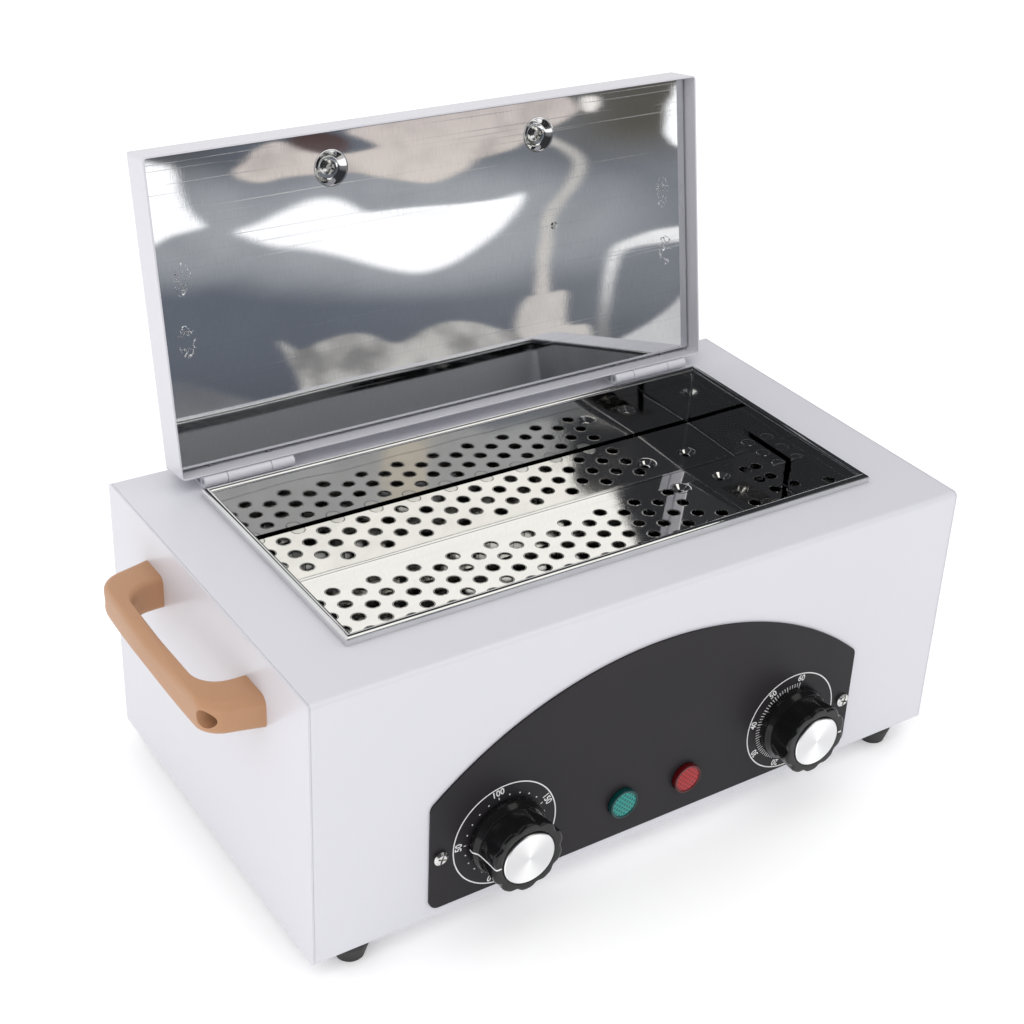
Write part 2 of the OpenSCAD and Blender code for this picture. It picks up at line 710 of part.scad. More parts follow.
// A switch block behind its mounting plate, with a bore for the shaft and two terminal blades
module control_body(x, size, shade) color(shade) on_body() translate([x, sheet_t, dial_z]) difference() {
  union() {
    translate([-size[0] / 2 - 4, 0, -control_plate_h / 2]) cube([size[0] + 8, control_plate_t, control_plate_h]);
    upright(size[1]) rounded_rect(size[0], size[2], 3);
    for (s = [-1, 1]) translate([s * size[0] / 4 - 3, size[1] - eps, -size[2] / 4]) cube([6, 9, 0.8]);
  }
  translate([0, -eps, 0]) upright(shaft_in + eps) circle(shaft_d / 2 + running);
  for (s = [-1, 1]) translate([s * control_screw_x, -eps, 0]) upright(7 + eps) circle(screw_m3[0] / 2 + fit);
}
module thermostat_body() control_body(-dial_x, thermostat_size, [0.86, 0.82, 0.74]);
module timer_body() control_body(dial_x, timer_size, [0.62, 0.64, 0.66]);

// A round shaft with a flat on the length that the knob grips
module control_shaft(x) color(zinc) on_body() translate([x, panel_face - shaft_out, dial_z]) difference() {
  upright(shaft_out + panel_t + sheet_t + shaft_in - 1) circle(d = shaft_d);
  translate([-shaft_d, -eps, shaft_d / 2 - 1.2]) cube([2 * shaft_d, shaft_out - 3 + eps, shaft_d]);
}
module thermostat_shaft() control_shaft(-dial_x);
module timer_shaft() control_shaft(dial_x);

// The round-hollowed outline of a knob's grip
module grip_outline(d) {
  flute_r = 6;
  difference() {
    circle(d = d);
    for (i = [0:flutes - 1]) rotate((i + 0.5) * 360 / flutes)
      translate([d / 2 + flute_r - flute_depth, 0]) circle(flute_r, $fn = 40);
  }
}

// A knob with a round skirt, a hollowed grip and a seat for its cap
module knob(x) color(black_plastic) on_body() translate([x, 0, dial_z]) {
  length = knob_reach - knob_gap;
  step = 2;
  translate([0, knob_foot, 0]) rotate([90, 0, 0]) difference() {
    union() {
      cylinder(d = skirt_d - 1, h = skirt_t * 0.4);
      translate([0, 0, skirt_t * 0.4]) cylinder(d = skirt_d, h = skirt_t * 0.6);
      linear_extrude(length - step) grip_outline(grip_d);
      translate([0, 0, length - step - fit]) linear_extrude(step + fit) grip_outline(grip_d - grip_taper);
    }
    translate([0, 0, length - 1.5]) cylinder(d = cap_d + 2 * fit, h = 2 * eps);
    translate([0, 0, -eps]) cylinder(d = shaft_d + 2 * shaft_fit, h = shaft_out - knob_gap + eps + fit);
    difference() {
      translate([0, 0, -eps]) cylinder(d = grip_d - 6, h = length - 5);
      translate([0, 0, 2.6]) cylinder(d = shaft_d + 7, h = length);
    }
  }
}
module temperature_knob() knob(-dial_x);
module timer_knob() knob(dial_x);

// A spun metal disc set into a knob's front
module knob_cap(x) color(stainless) on_body() translate([x, knob_front + 1.5, dial_z]) rotate([90, 0, 0]) {
  cylinder(d = cap_d, h = 1.5 + cap_rise - 0.4);
  translate([0, 0, 1.5 + cap_rise - 0.4]) cylinder(d1 = cap_d, d2 = cap_d - 0.8, h = 0.4);
}
module temperature_knob_cap() knob_cap(-dial_x);
module timer_knob_cap() knob_cap(dial_x);

// A lens: a low button with a softened edge and a spigot that enters the lamp's barrel
module lamp_lens(x, shade) color(shade) on_body() translate([x, panel_face, lamp_z]) rotate([90, 0, 0]) {
  cylinder(d = lens_d, h = lens_h - 1);
  translate([0, 0, lens_h - 1]) cylinder(d1 = lens_d, d2 = lens_d - 2, h = 1);
}
module green_lamp_lens() lamp_lens(-lamp_x, "teal");
module red_lamp_lens() lamp_lens(lamp_x, "red");

// A lamp's barrel behind its lens, with a push-on collar behind the casing and two wires' blades
module lamp_body(x) color(black_plastic) on_body() translate([x, panel_face, lamp_z]) {
  upright(lamp_barrel_l) circle(d = lamp_barrel_d);
  translate([0, panel_t + sheet_t, 0]) upright(3) circle(d = lamp_barrel_d + 5);
  for (s = [-1, 1]) translate([s * 3 - 0.4, lamp_barrel_l - eps, -2]) cube([0.8, 8, 4]);
}
module green_lamp_body() lamp_body(-lamp_x);
module red_lamp_body() lamp_body(lamp_x);

// A handle's outline: out from its seat along +X and centred along Y, with an outer face that bows
// out a little between its round corners, and straight legs from the corners to the seat
module handle_outline(span) {
  half = span / 2 + handle_end;
  corner_v = span / 2 - 6;
  bow_u = handle_reach - handle_bow_r;
  corner_u = bow_u + sqrt(pow(handle_bow_r - handle_corner_r, 2) - pow(corner_v, 2));
  leg_angle = atan2(half - corner_v, -corner_u) - acos(handle_corner_r / norm([corner_u, half - corner_v]));
  leg_u = corner_u + handle_corner_r * cos(leg_angle);
  leg_v = corner_v + handle_corner_r * sin(leg_angle);
  bow_share = handle_bow_r / (handle_bow_r - handle_corner_r);
  arc_u = bow_u + (corner_u - bow_u) * bow_share;
  arc_v = corner_v * bow_share;
  difference() {
    union() {
      polygon([
        [0, -half], [leg_u, -leg_v], [corner_u, -corner_v], [corner_u, corner_v], [leg_u, leg_v], [0, half]
      ]);
      intersection() {
        polygon([
          [corner_u, -corner_v], [arc_u, -arc_v], [handle_reach + eps, -arc_v],
          [handle_reach + eps, arc_v], [arc_u, arc_v], [corner_u, corner_v]
        ]);
        translate([bow_u, 0]) circle(handle_bow_r, $fn = 720);
      }
      for (v = [-1, 1]) translate([corner_u, v * corner_v]) circle(handle_corner_r);
    }
    one_sided_rect(handle_reach - bar_t, span - 23, handle_slot_r);
  }
}

// A moulded bow handle with two screw wells, standing on X = 0
module bow_handle(span) {
  difference() {
    intersection() {
      translate([0, 0, -handle_w / 2]) linear_extrude(handle_w) handle_outline(span);
      translate([0, span, 0]) rotate([90, 0, 0]) linear_extrude(2 * span)
        one_sided_rect(handle_reach, handle_w, handle_edge_r);
    }
    for (v = [-1, 1]) translate([0, v * span / 2, 0]) rotate([0, 90, 0]) children();
  }
}

// The screw well of a side handle, which is fastened from outside
module side_well() {
  translate([0, 0, -eps]) cylinder(d = screw_m4[0] + 2 * fit, h = handle_reach);
  translate([0, 0, bore_floor]) cylinder(d = bore_head_d, h = handle_reach);
}

module side_handle(side) color(tan_plastic) on_body()
  translate([side * body_w / 2, side_handle_y, side_handle_z]) mirror([side < 0 ? 1 : 0, 0, 0])
    bow_handle(side_handle_span) side_well();
module left_handle() side_handle(-1);
module right_handle() side_handle(1);

module side_handle_screws() color(zinc) on_body() {
  for (side = [-1, 1]) for (s = [-1, 1])
    translate([side * (body_w / 2 + bore_floor), side_handle_y + s * side_handle_span / 2, side_handle_z])
      rotate([0, side * 90, 0]) pan_screw(screw_m4, bore_floor + 6);
}

// A block with softened upper and upright edges, from the lid's rear wall forwards
module lid_block(inset, r) {
  w = lid_w - 2 * inset;
  d = lid_d - 2 * inset;
  h = lid_h - inset;
  translate([0, -lid_d / 2, 0]) intersection() {
    translate([0, 0, -eps]) linear_extrude(h + eps) rounded_rect(w, d, r);
    rotate([0, -90, 90]) translate([0, 0, -d / 2]) linear_extrude(d) one_sided_rect(h, w, r);
    rotate([0, -90, 0]) translate([0, 0, -w / 2]) linear_extrude(w) one_sided_rect(h, d, r);
  }
}

// A folded pan that opens downwards when the lid is shut
module lid_shell() color(paint) on_lid() difference() {
  intersection() {
    lid_block(0, lid_edge_r);
    translate([-lid_w, -2 * lid_d, 0]) cube([2 * lid_w, 3 * lid_d, 2 * lid_h]);
  }
  lid_block(lid_wall, lid_edge_r - lid_wall);
  for (s = [-1, 1]) translate([s * lid_handle_span / 2, -lid_handle_up, lid_h - 2 * eps])
    cylinder(d = screw_m4[0] + 2 * fit, h = 3 * eps);
  for (h = [-1, 1]) for (s = [-1, 1]) translate([h * hinge_x + s * leaf_screw_x, 0, leaf_screw_z()])
    rotate([90, 0, 0]) translate([0, 0, -eps]) cylinder(d = screw_m3[0] + 2 * fit, h = 3 * eps);
}

// Height of the leaf screws above the lid's edge
function leaf_screw_z() = leaf_screw_out - lid_edge_z;

// A polished sheet with its edges turned back and a dish round each handle screw
module lid_liner() color(stainless) on_lid() {
  edge = 5;
  depth = lid_d - 2 * (lid_wall + liner_gap);
  difference() {
    union() {
      translate([0, -lid_d / 2, liner_z]) linear_extrude(liner_t) rounded_rect(2 * liner_half, depth, 1);
      translate([0, -lid_d / 2, liner_z]) linear_extrude(edge) difference() {
        rounded_rect(2 * liner_half, depth, 1);
        rounded_rect(2 * liner_half - 2 * liner_t, depth - 2 * liner_t, 0.5);
      }
      for (s = [-1, 1]) translate([s * lid_handle_span / 2, -lid_handle_up, liner_z])
        cylinder(r1 = dish_r + liner_t, r2 = dish_r - 3 + liner_t, h = dish_depth + liner_t);
    }
    for (s = [-1, 1]) translate([s * lid_handle_span / 2, -lid_handle_up, liner_z]) {
      translate([0, 0, -fit]) cylinder(r1 = dish_r, r2 = dish_r - 3, h = dish_depth + fit);
      cylinder(d = screw_m4[0] + 2 * fit, h = lid_h);
    }
    translate([rivet_at[0], rivet_at[1], liner_z - eps]) cylinder(d = 2.4 + 2 * fit, h = 3 * eps);
  }
}

// A thin wool pad between the liner and the lid's top
module lid_insulation() color(wool) on_lid() {
  low = liner_z + liner_t + wool_gap;
  half = liner_half - liner_t - 1;
  difference() {
    translate([-half, -lid_d + lid_wall + liner_gap + liner_t + 1, low])
      cube([2 * half, lid_d - 2 * (lid_wall + liner_gap + liner_t + 1), lid_h - lid_wall - wool_gap - low]);
    for (s = [-1, 1]) translate([s * lid_handle_span / 2, -lid_handle_up, low - eps])
      cylinder(r = dish_r + liner_t + 0.5, h = lid_h);
    translate([rivet_at[0], rivet_at[1], low - eps]) cylinder(r = 3, h = 4);
  }
}

// The lid's handle is fastened from inside, so its wells are plain pilot holes
module lid_handle() color(tan_plastic) on_lid() translate([0, -lid_handle_up, lid_h])
  rotate([0, 0, 90]) rotate([0, -90, 0]) bow_handle(lid_handle_span)
    translate([0, 0, -eps]) cylinder(d = screw_m4[0] + 2 * fit, h = 12 + eps);

module lid_handle_screws() color(zinc) on_lid() {
  for (s = [-1, 1]) translate([s * lid_handle_span / 2, -lid_handle_up, liner_z + dish_depth])
    rotate([180, 0, 30]) pan_screw(screw_m4, lid_h - liner_z - dish_depth + 10);
}

module lid_rivet() color(stainless) on_lid() translate([rivet_at[0], rivet_at[1], liner_z]) {
  translate([0, 0, -0.6]) cylinder(d1 = 2.6, d2 = 4, h = 0.6);
  cylinder(d = 2.4, h = 2);
  translate([0, 0, liner_t]) cylinder(d = 4, h = 1.2);
}

// The lengths of a hinge's three knuckles, as ends along X with the gaps between them
knuckle_ends = [-hinge_l / 2, -hinge_l / 2 + 12, hinge_l / 2 - 12, hinge_l / 2];
knuckle_gap = 0.25;

// One knuckle between two places along X, with its bore
module knuckle(from, to) translate([from, 0, 0]) rotate([0, 90, 0]) difference() {
  cylinder(d = knuckle_d, h = to - from);
  translate([0, 0, -eps]) cylinder(d = pin_d + 2 * running, h = to - from + 2 * eps);
}

// The leaf on the casing's top, with the two outer knuckles
module hinge_body_leaf(side) color(paint) on_body() translate([side * hinge_x, hinge_y, body_h]) {
  difference() {
    union() {
      translate([-hinge_l / 2, knuckle_d / 2 - eps, 0]) cube([hinge_l, leaf_w - knuckle_d / 2 + eps, leaf_t]);
      for (k = [0, 2]) translate([knuckle_ends[k], 0, 0])
        cube([knuckle_ends[k + 1] - knuckle_ends[k] - (k == 0 ? knuckle_gap : 0), knuckle_d / 2, leaf_t]);
    }
    translate([knuckle_ends[1] - knuckle_gap, 0, 0]) knuckle_clearance();
    for (s = [-1, 1]) translate([s * leaf_screw_x, leaf_screw_out, leaf_t]) flush_hole(leaf_screw, leaf_t);
    translate([-hinge_l, 0, hinge_z]) rotate([0, 90, 0]) cylinder(d = pin_d + 2 * running, h = 2 * hinge_l);
  }
  translate([0, 0, hinge_z]) {
    knuckle(knuckle_ends[0], knuckle_ends[1] - knuckle_gap);
    knuckle(knuckle_ends[2], knuckle_ends[3]);
  }
  for (k = [0, 2]) translate([knuckle_ends[k], 0, 0]) difference() {
    cube([knuckle_ends[k + 1] - knuckle_ends[k] - (k == 0 ? knuckle_gap : 0), knuckle_d / 2, hinge_z]);
    translate([-eps, 0, hinge_z]) rotate([0, 90, 0]) cylinder(d = knuckle_d - 2 * fit, h = hinge_l);
  }
}

// Room for the lid's knuckle to turn beside the body leaf
module knuckle_clearance() {
  translate([0, -knuckle_d, -eps]) cube([knuckle_ends[2] - knuckle_ends[1] + knuckle_gap, 2 * knuckle_d - 1.5, 3 * eps]);
}

// The leaf on the lid's rear wall, with the middle knuckle
module hinge_lid_leaf(side) color(paint) on_lid() translate([side * hinge_x, 0, -lid_edge_z]) {
  difference() {
    translate([-hinge_l / 2, fit, lid_leaf_low]) cube([hinge_l, leaf_t, leaf_w - lid_leaf_low]);
    for (s = [-1, 1]) translate([s * leaf_screw_x, fit + leaf_t, leaf_screw_out])
      rotate([-90, 0, 0]) flush_hole(leaf_screw, leaf_t);
  }
  translate([0, hinge_gap, 0]) knuckle(knuckle_ends[1], knuckle_ends[2] - knuckle_gap);
  difference() {
    translate([knuckle_ends[1], fit, 0]) cube([knuckle_ends[2] - knuckle_ends[1] - knuckle_gap, hinge_gap - fit, knuckle_d / 2]);
    translate([-hinge_l, hinge_gap, 0]) rotate([0, 90, 0]) cylinder(d = knuckle_d - 2 * fit, h = 2 * hinge_l);
    translate([-hinge_l, fit + leaf_t + 0.4, 0]) cube([2 * hinge_l, hinge_gap, knuckle_d]);
  }
}

module hinge_pin(side) color(zinc) on_body() translate([side * hinge_x - hinge_l / 2, hinge_y, body_h + hinge_z])
  rotate([0, 90, 0]) cylinder(d = pin_d, h = hinge_l);

module left_hinge_body_leaf() hinge_body_leaf(-1);
module right_hinge_body_leaf() hinge_body_leaf(1);
module left_hinge_lid_leaf() hinge_lid_leaf(-1);
module right_hinge_lid_leaf() hinge_lid_leaf(1);
module left_hinge_pin() hinge_pin(-1);
module right_hinge_pin() hinge_pin(1);

module hinge_body_screws() color(zinc) on_body() {
  for (h = [-1, 1]) for (s = [-1, 1])
    translate([h * hinge_x + s * leaf_screw_x, hinge_y + leaf_screw_out, body_h + leaf_t]) flush_screw(leaf_screw, 6);
}

module hinge_lid_screws() color(zinc) on_lid() {
  for (h = [-1, 1]) for (s = [-1, 1])
    translate([h * hinge_x + s * leaf_screw_x, fit + leaf_t, leaf_screw_z()]) rotate([-90, 0, 0])
      flush_screw(leaf_screw, fit + leaf_t + lid_wall + liner_gap / 2);
}

// A black cable inlet through the rear wall, empty, with its nut inside
module cable_gland() color(black_plastic) on_body() translate([gland_x, body_d, gland_z]) rotate([-90, 0, 0]) difference() {
  union() {
    cylinder(d = gland_d + 6, h = 3);
    translate([0, 0, -10]) cylinder(d = gland_d, h = 10 + eps);
    translate([0, 0, 3]) cylinder(d1 = gland_d + 2, d2 = cord_d + 5, h = 7);
  }
  translate([0, 0, -10 - eps]) cylinder(d = cord_d, h = 20 + 2 * eps);
}

module gland_nut() color(black_plastic) on_body() translate([gland_x, body_d - sheet_t, gland_z]) rotate([90, 0, 0]) difference() {
  cylinder(d = gland_d + 7, h = 4, $fn = 6);
  translate([0, 0, -eps]) cylinder(d = gland_d + 2 * fit, h = 4 + 2 * eps);
}

// A row of wire clamps on the casing's floor
module terminal_block() color([0.9, 0.88, 0.8]) on_body() {
  ways = 3;
  pitch = 12;
  depth = 20;
  height = 14;
  behind = 40;
  translate([gland_x - ways * pitch / 2 - 60, body_d - behind - depth, 2 * sheet_t + fit]) difference() {
    cube([ways * pitch, depth, height]);
    for (i = [0:ways - 1]) {
      translate([(i + 0.5) * pitch, -eps, 6]) rotate([-90, 0, 0]) cylinder(d = 4, h = depth + 2 * eps);
      for (y = [6, depth - 6]) translate([(i + 0.5) * pitch, y, 9]) cylinder(d = 4.5, h = height);
    }
  }
}

outer_casing();
left_side_panel();
right_side_panel();
bottom_plate();
bottom_screws();
foot_front_left();
foot_front_right();
foot_rear_left();
foot_rear_right();
foot_screws();
chamber_liner();
chamber_insulation();
perforated_tray();
heating_element();
heater_brackets();
heater_bushes();
sensor_bulb();
sensor_capillary();
control_panel();
panel_screws();
control_screws();
thermostat_body();
thermostat_shaft();
temperature_knob();
temperature_knob_cap();
timer_body();
timer_shaft();
timer_knob();
timer_knob_cap();
green_lamp_lens();
red_lamp_lens();
green_lamp_body();
red_lamp_body();
left_handle();
right_handle();
side_handle_screws();
lid_shell();
lid_liner();
lid_insulation();
lid_handle();
lid_handle_screws();
lid_rivet();
left_hinge_body_leaf();
left_hinge_lid_leaf();
left_hinge_pin();
right_hinge_body_leaf();
right_hinge_lid_leaf();
right_hinge_pin();
hinge_body_screws();
hinge_lid_screws();
cable_gland();
gland_nut();
terminal_block();
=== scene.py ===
"""Looks for the bench-top dry heat sterilizer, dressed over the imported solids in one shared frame.

Lengths are in metres. The front faces -Y, +Z is up and the feet stand on Z = 0.
"""

import logging
import math
from dataclasses import dataclass, field
from enum import Enum
from typing import Any, Sequence

import bmesh
import bpy
import numpy as np
from mathutils import Matrix, Vector

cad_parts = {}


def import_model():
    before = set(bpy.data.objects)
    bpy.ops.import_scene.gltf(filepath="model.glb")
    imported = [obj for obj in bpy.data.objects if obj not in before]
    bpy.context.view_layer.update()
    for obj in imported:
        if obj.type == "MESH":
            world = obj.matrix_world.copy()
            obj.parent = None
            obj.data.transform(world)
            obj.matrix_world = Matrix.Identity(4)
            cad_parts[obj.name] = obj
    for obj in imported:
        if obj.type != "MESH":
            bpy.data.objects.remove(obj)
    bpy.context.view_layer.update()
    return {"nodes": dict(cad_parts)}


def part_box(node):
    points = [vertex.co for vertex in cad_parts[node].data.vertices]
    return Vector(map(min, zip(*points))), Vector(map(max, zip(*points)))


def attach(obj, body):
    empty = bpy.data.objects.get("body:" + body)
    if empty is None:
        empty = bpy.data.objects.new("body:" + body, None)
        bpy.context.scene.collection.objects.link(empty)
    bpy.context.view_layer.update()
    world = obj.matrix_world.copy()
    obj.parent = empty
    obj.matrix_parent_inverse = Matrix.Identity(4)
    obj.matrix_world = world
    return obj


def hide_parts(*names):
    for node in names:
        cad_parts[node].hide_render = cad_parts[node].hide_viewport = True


LOG = logging.getLogger("sterilizer")
MM = 0.001
Pair = tuple[float, float]
Triple = tuple[float, float, float]
Colour = Triple
WHITE: Colour = (1.0, 1.0, 1.0)
# A near white: the floor paper's tone, the lid's bright marks and the spun caps' painted highlights.
PALE_AND_GLINT: Colour = (0.97, 0.97, 0.97)

# What the added pieces and the finishes share with the solids: the open lid's turn, its screws'
# distance in front of its rear wall, and the tray's fold from its rear edge, its cross line from its
# right end, its slope to each side of the fold and the fold's height over the casing's foot.
LID_TURN = math.radians(99.3)
LID_SCREWS_Y = -134.4 * MM
FOLD_IN, CROSS_IN = 42.0 * MM, 34.0 * MM
TRAY_SLOPE, FOLD_HEIGHT = math.radians(1.6), 109.0 * MM


# ---------------------------------------------------------------- shader graph


class Value:
    """A node socket that can be used in arithmetic."""

    def __init__(self, graph: "Graph", socket: bpy.types.NodeSocket) -> None:
        """Wraps one output socket of a graph."""
        self.graph, self.socket = graph, socket

    def math(self, operation: str, *others: Any) -> "Value":
        """This value, or this and others, through a Math node's operation."""
        return self.graph.value("ShaderNodeMath", dict(enumerate((self, *others))), operation=operation)

    def __add__(self, other: Any) -> "Value":
        """Sum."""
        return self.math("ADD", other)

    __radd__ = __add__

    def __sub__(self, other: Any) -> "Value":
        """Difference."""
        return self.math("SUBTRACT", other)

    def __rsub__(self, other: Any) -> "Value":
        """Reflected difference."""
        return self.graph.value("ShaderNodeMath", {0: other, 1: self}, operation="SUBTRACT")

    def __mul__(self, other: Any) -> "Value":
        """Product."""
        return self.math("MULTIPLY", other)

    __rmul__ = __mul__

    def __truediv__(self, other: Any) -> "Value":
        """Quotient."""
        return self.math("DIVIDE", other)

    def __abs__(self) -> "Value":
        """Absolute value."""
        return self.math("ABSOLUTE")

    def least(self, other: Any) -> "Value":
        """The smaller of two values."""
        return self.math("MINIMUM", other)

    def most(self, other: Any) -> "Value":
        """The larger of two values."""
        return self.math("MAXIMUM", other)

    def reach(self, other: "Value") -> "Value":
        """The length of the two values' vector: the square root of a a + b b."""
        return (self * self + other * other).math("SQRT")

    def wrap(self, period: float) -> "Value":
        """The signed distance to the nearest multiple of a period."""
        return self - (self / period + 0.5).math("FLOOR") * period

    def step(self, low: float, high: float) -> "Value":
        """A smooth step from 0 at low to 1 at high."""
        return self.graph.value("ShaderNodeMapRange", {0: self, 1: low, 2: high, 3: 0.0, 4: 1.0},
                                interpolation_type="SMOOTHSTEP")

    def past(self, limit: float) -> "Value":
        """1 from a limit on, and 0 from a hundredth of a millimetre before it."""
        return self.step(limit - 0.01 * MM, limit)

    def band(self, centre: float, half: float, soft: float) -> "Value":
        """1 within half of a centre, falling to 0 over a soft edge."""
        return 1.0 - abs(self - centre).step(half, half + soft)


class Graph:
    """A node tree, of a material or of the world."""

    def __init__(self, name: str, world: bool = False) -> None:
        """Starts an empty tree.

        Args:
            name: the material's or the world's name.
            world: whether it is the world's.
        """
        self.block = (bpy.data.worlds if world else bpy.data.materials).new(name)
        self.block.use_nodes = True
        self.tree = self.block.node_tree
        self.tree.nodes.clear()
        self._axes: tuple[Value, ...] = ()

    def node(self, kind: str, sockets: dict[Any, Any] | None = None, **settings: Any) -> bpy.types.Node:
        """Adds a node, sets its settings first, then its sockets.

        Args:
            kind: the node's type name.
            sockets: socket name or number to a value or a link.
            settings: attributes of the node.

        Returns:
            The node.
        """
        node = self.tree.nodes.new(kind)
        for key, value in settings.items():
            setattr(node, key, value)
        for key, value in (sockets or {}).items():
            if isinstance(value, Value):
                self.tree.links.new(value.socket, node.inputs[key])
            elif isinstance(value, bpy.types.NodeSocket):
                self.tree.links.new(value, node.inputs[key])
            else:
                node.inputs[key].default_value = value
        return node

    def value(self, kind: str, sockets: dict[Any, Any] | None = None, output: int | str = 0,
              **settings: Any) -> Value:
        """Adds a node as node() does and gives one of its outputs, by number or name."""
        return Value(self, self.node(kind, sockets, **settings).outputs[output])

    def place(self) -> Value:
        """The Object coordinates, which are the row frame at rest."""
        return self.value("ShaderNodeTexCoord", output="Object")

    def axes(self) -> tuple[Value, ...]:
        """Splits the Object coordinates, once for a graph.

        Returns:
            X, Y and Z.
        """
        if not self._axes:
            split = self.node("ShaderNodeSeparateXYZ", {0: self.place()})
            self._axes = tuple(Value(self, socket) for socket in split.outputs)
        return self._axes

    def vector(self, x: Any, y: Any, z: Any) -> Value:
        """A vector from three values."""
        return self.value("ShaderNodeCombineXYZ", {0: x, 1: y, 2: z})

    def noise(self, scale: float, detail: float = 2.0, stretch: Triple = (1, 1, 1),
              offset: Triple = (0, 0, 0), place: Value | None = None) -> Value:
        """Noise from 0 to 1 over the Object coordinates.

        Args:
            scale: cells per metre.
            detail: octaves.
            stretch: factor of each axis before the noise.
            offset: shift of each axis, so that two layers differ.
            place: other coordinates to read.

        Returns:
            The noise value.
        """
        where = self.value("ShaderNodeMapping", {"Vector": place or self.place(), "Scale": stretch,
                                                 "Location": offset})
        return self.value("ShaderNodeTexNoise", {"Vector": where, "Scale": scale, "Detail": detail,
                                                 "Roughness": 0.55}, "Fac")

    @staticmethod
    def opaque(colour: Any) -> Any:
        """A colour's numbers with their alpha, or a varying colour as it is."""
        return (*colour, 1.0) if isinstance(colour, tuple) else colour

    def mix(self, share: Any, low: Any, high: Any) -> Value:
        """A colour that goes from the first colour to the second as the share goes from 0 to 1."""
        return self.value("ShaderNodeMix", {0: share, 6: self.opaque(low), 7: self.opaque(high)}, 2,
                          data_type="RGBA")

    def bump(self, height: Value, depth: float, over: Value | None = None) -> Value:
        """A normal from a height.

        Args:
            height: the height, 0 to 1.
            depth: the real height of 1, in metres.
            over: a normal that this one is added to.

        Returns:
            The new normal.
        """
        base = {} if over is None else {"Normal": over}
        return self.value("ShaderNodeBump", {"Height": height, "Distance": depth, "Strength": 1.0, **base})

    def soft_edges(self, radius: float) -> Value:
        """A normal that rounds the edges of a solid over a radius."""
        return self.value("ShaderNodeBevel", {"Radius": radius}, samples=6)

    def glow(self, colour: Any, cover: Value | None = None) -> bpy.types.Material:
        """Ends the graph in a surface that shows a colour whatever the light is.

        Args:
            colour: the colour shown, a triple or a varying value.
            cover: where the surface is seen, from 0, clear, to 1; all over if left out.

        Returns:
            The finished material.
        """
        shader = self.node("ShaderNodeBsdfPrincipled", {
            "Base Color": (0.0, 0.0, 0.0, 1.0), "Specular IOR Level": 0.0, "Roughness": 1.0,
            "Emission Color": self.opaque(colour), "Emission Strength": 1.0})
        if cover is not None:
            clear = self.node("ShaderNodeBsdfTransparent")
            shader = self.node("ShaderNodeMixShader", {0: cover, 1: clear.outputs[0], 2: shader.outputs[0]})
        self.node("ShaderNodeOutputMaterial", {"Surface": shader.outputs[0]})
        return self.block

    def surface(self, constants: dict[str, Any], **links: Any) -> bpy.types.Material:
        """Ends the graph in a Principled shader.

        Args:
            constants: socket name to number, set on the shader itself.
            links: varying inputs, with underscores for the spaces in their names.

        Returns:
            The finished material.
        """
        inputs = {name.replace("_", " "): value for name, value in links.items()}
        shader = self.node("ShaderNodeBsdfPrincipled", {**constants, **inputs})
        self.node("ShaderNodeOutputMaterial", {"Surface": shader.outputs[0]})
        return self.block


# ------------------------------------------------------------------- finishes


@dataclass(frozen=True)
class Plain:
    """A material with mild unevenness in colour, gloss and surface."""

    name: str
    base: Colour
    shade: Colour
    gloss: Pair = (0.35, 0.5)
    metallic: float = 0.0
    coat: float = 0.0
    grain: float = 400.0
    relief: float = 0.00002
    specular: float = 0.5

    def build(self) -> bpy.types.Material:
        """Builds the material: base and shade mixed by coarse and fine noise.

        Returns:
            The finished material.
        """
        g = Graph(self.name)
        coarse, fine = g.noise(18.0, 3.0), g.noise(self.grain, 3.0, offset=(0.3, 0.1, 0.7))
        tone = g.mix((coarse * 0.6 + fine * 0.4).step(0.3, 0.7), self.base, self.shade)
        least, most = self.gloss
        rough = (coarse * 0.5 + fine * 0.5).step(0.25, 0.75) * (most - least) + least
        return g.surface({"Metallic": self.metallic, "Coat Weight": self.coat, "Coat Roughness": 0.06,
                          "Specular IOR Level": self.specular},
                         Base_Color=tone, Roughness=rough, Normal=g.bump(fine, self.relief))


@dataclass(frozen=True)
class Enamel:
    """Glossy stoved paint over thin sheet: a slight orange peel, faint drifts and a few specks.

    Its roughness stays over the value at which a renderer's denoiser starts to take it for a mirror.
    """

    name: str
    base: Colour = (0.69, 0.685, 0.735)
    drift: Colour = (0.67, 0.665, 0.715)
    speck: Colour = (0.48, 0.48, 0.49)
    edge_r: float = 0.5 * MM

    def build(self) -> bpy.types.Material:
        """Builds the paint, with the sheet's edges a little round.

        Returns:
            The finished material.
        """
        g = Graph(self.name)
        slow = g.noise(7.0, 2.0)
        peel = g.noise(420.0, 2.0, offset=(1.7, 0.4, 0.2))
        specks = g.noise(900.0, 1.0, offset=(0.2, 5.1, 0.4)).step(0.78, 0.82)
        tone = g.mix(slow, self.base, self.drift)
        tone = g.mix(specks * 0.3, tone, self.speck)
        return g.surface({"Coat Weight": 0.15, "Coat Roughness": 0.15, "Specular IOR Level": 0.5},
                         Base_Color=tone, Roughness=peel * 0.03 + 0.29,
                         Normal=g.bump(peel, 0.000008, over=g.soft_edges(self.edge_r)))


class Sheet(Enum):
    """The kinds of polished stainless sheet on the sterilizer."""

    LID = "lid"
    CHAMBER = "chamber"
    TRAY = "tray"


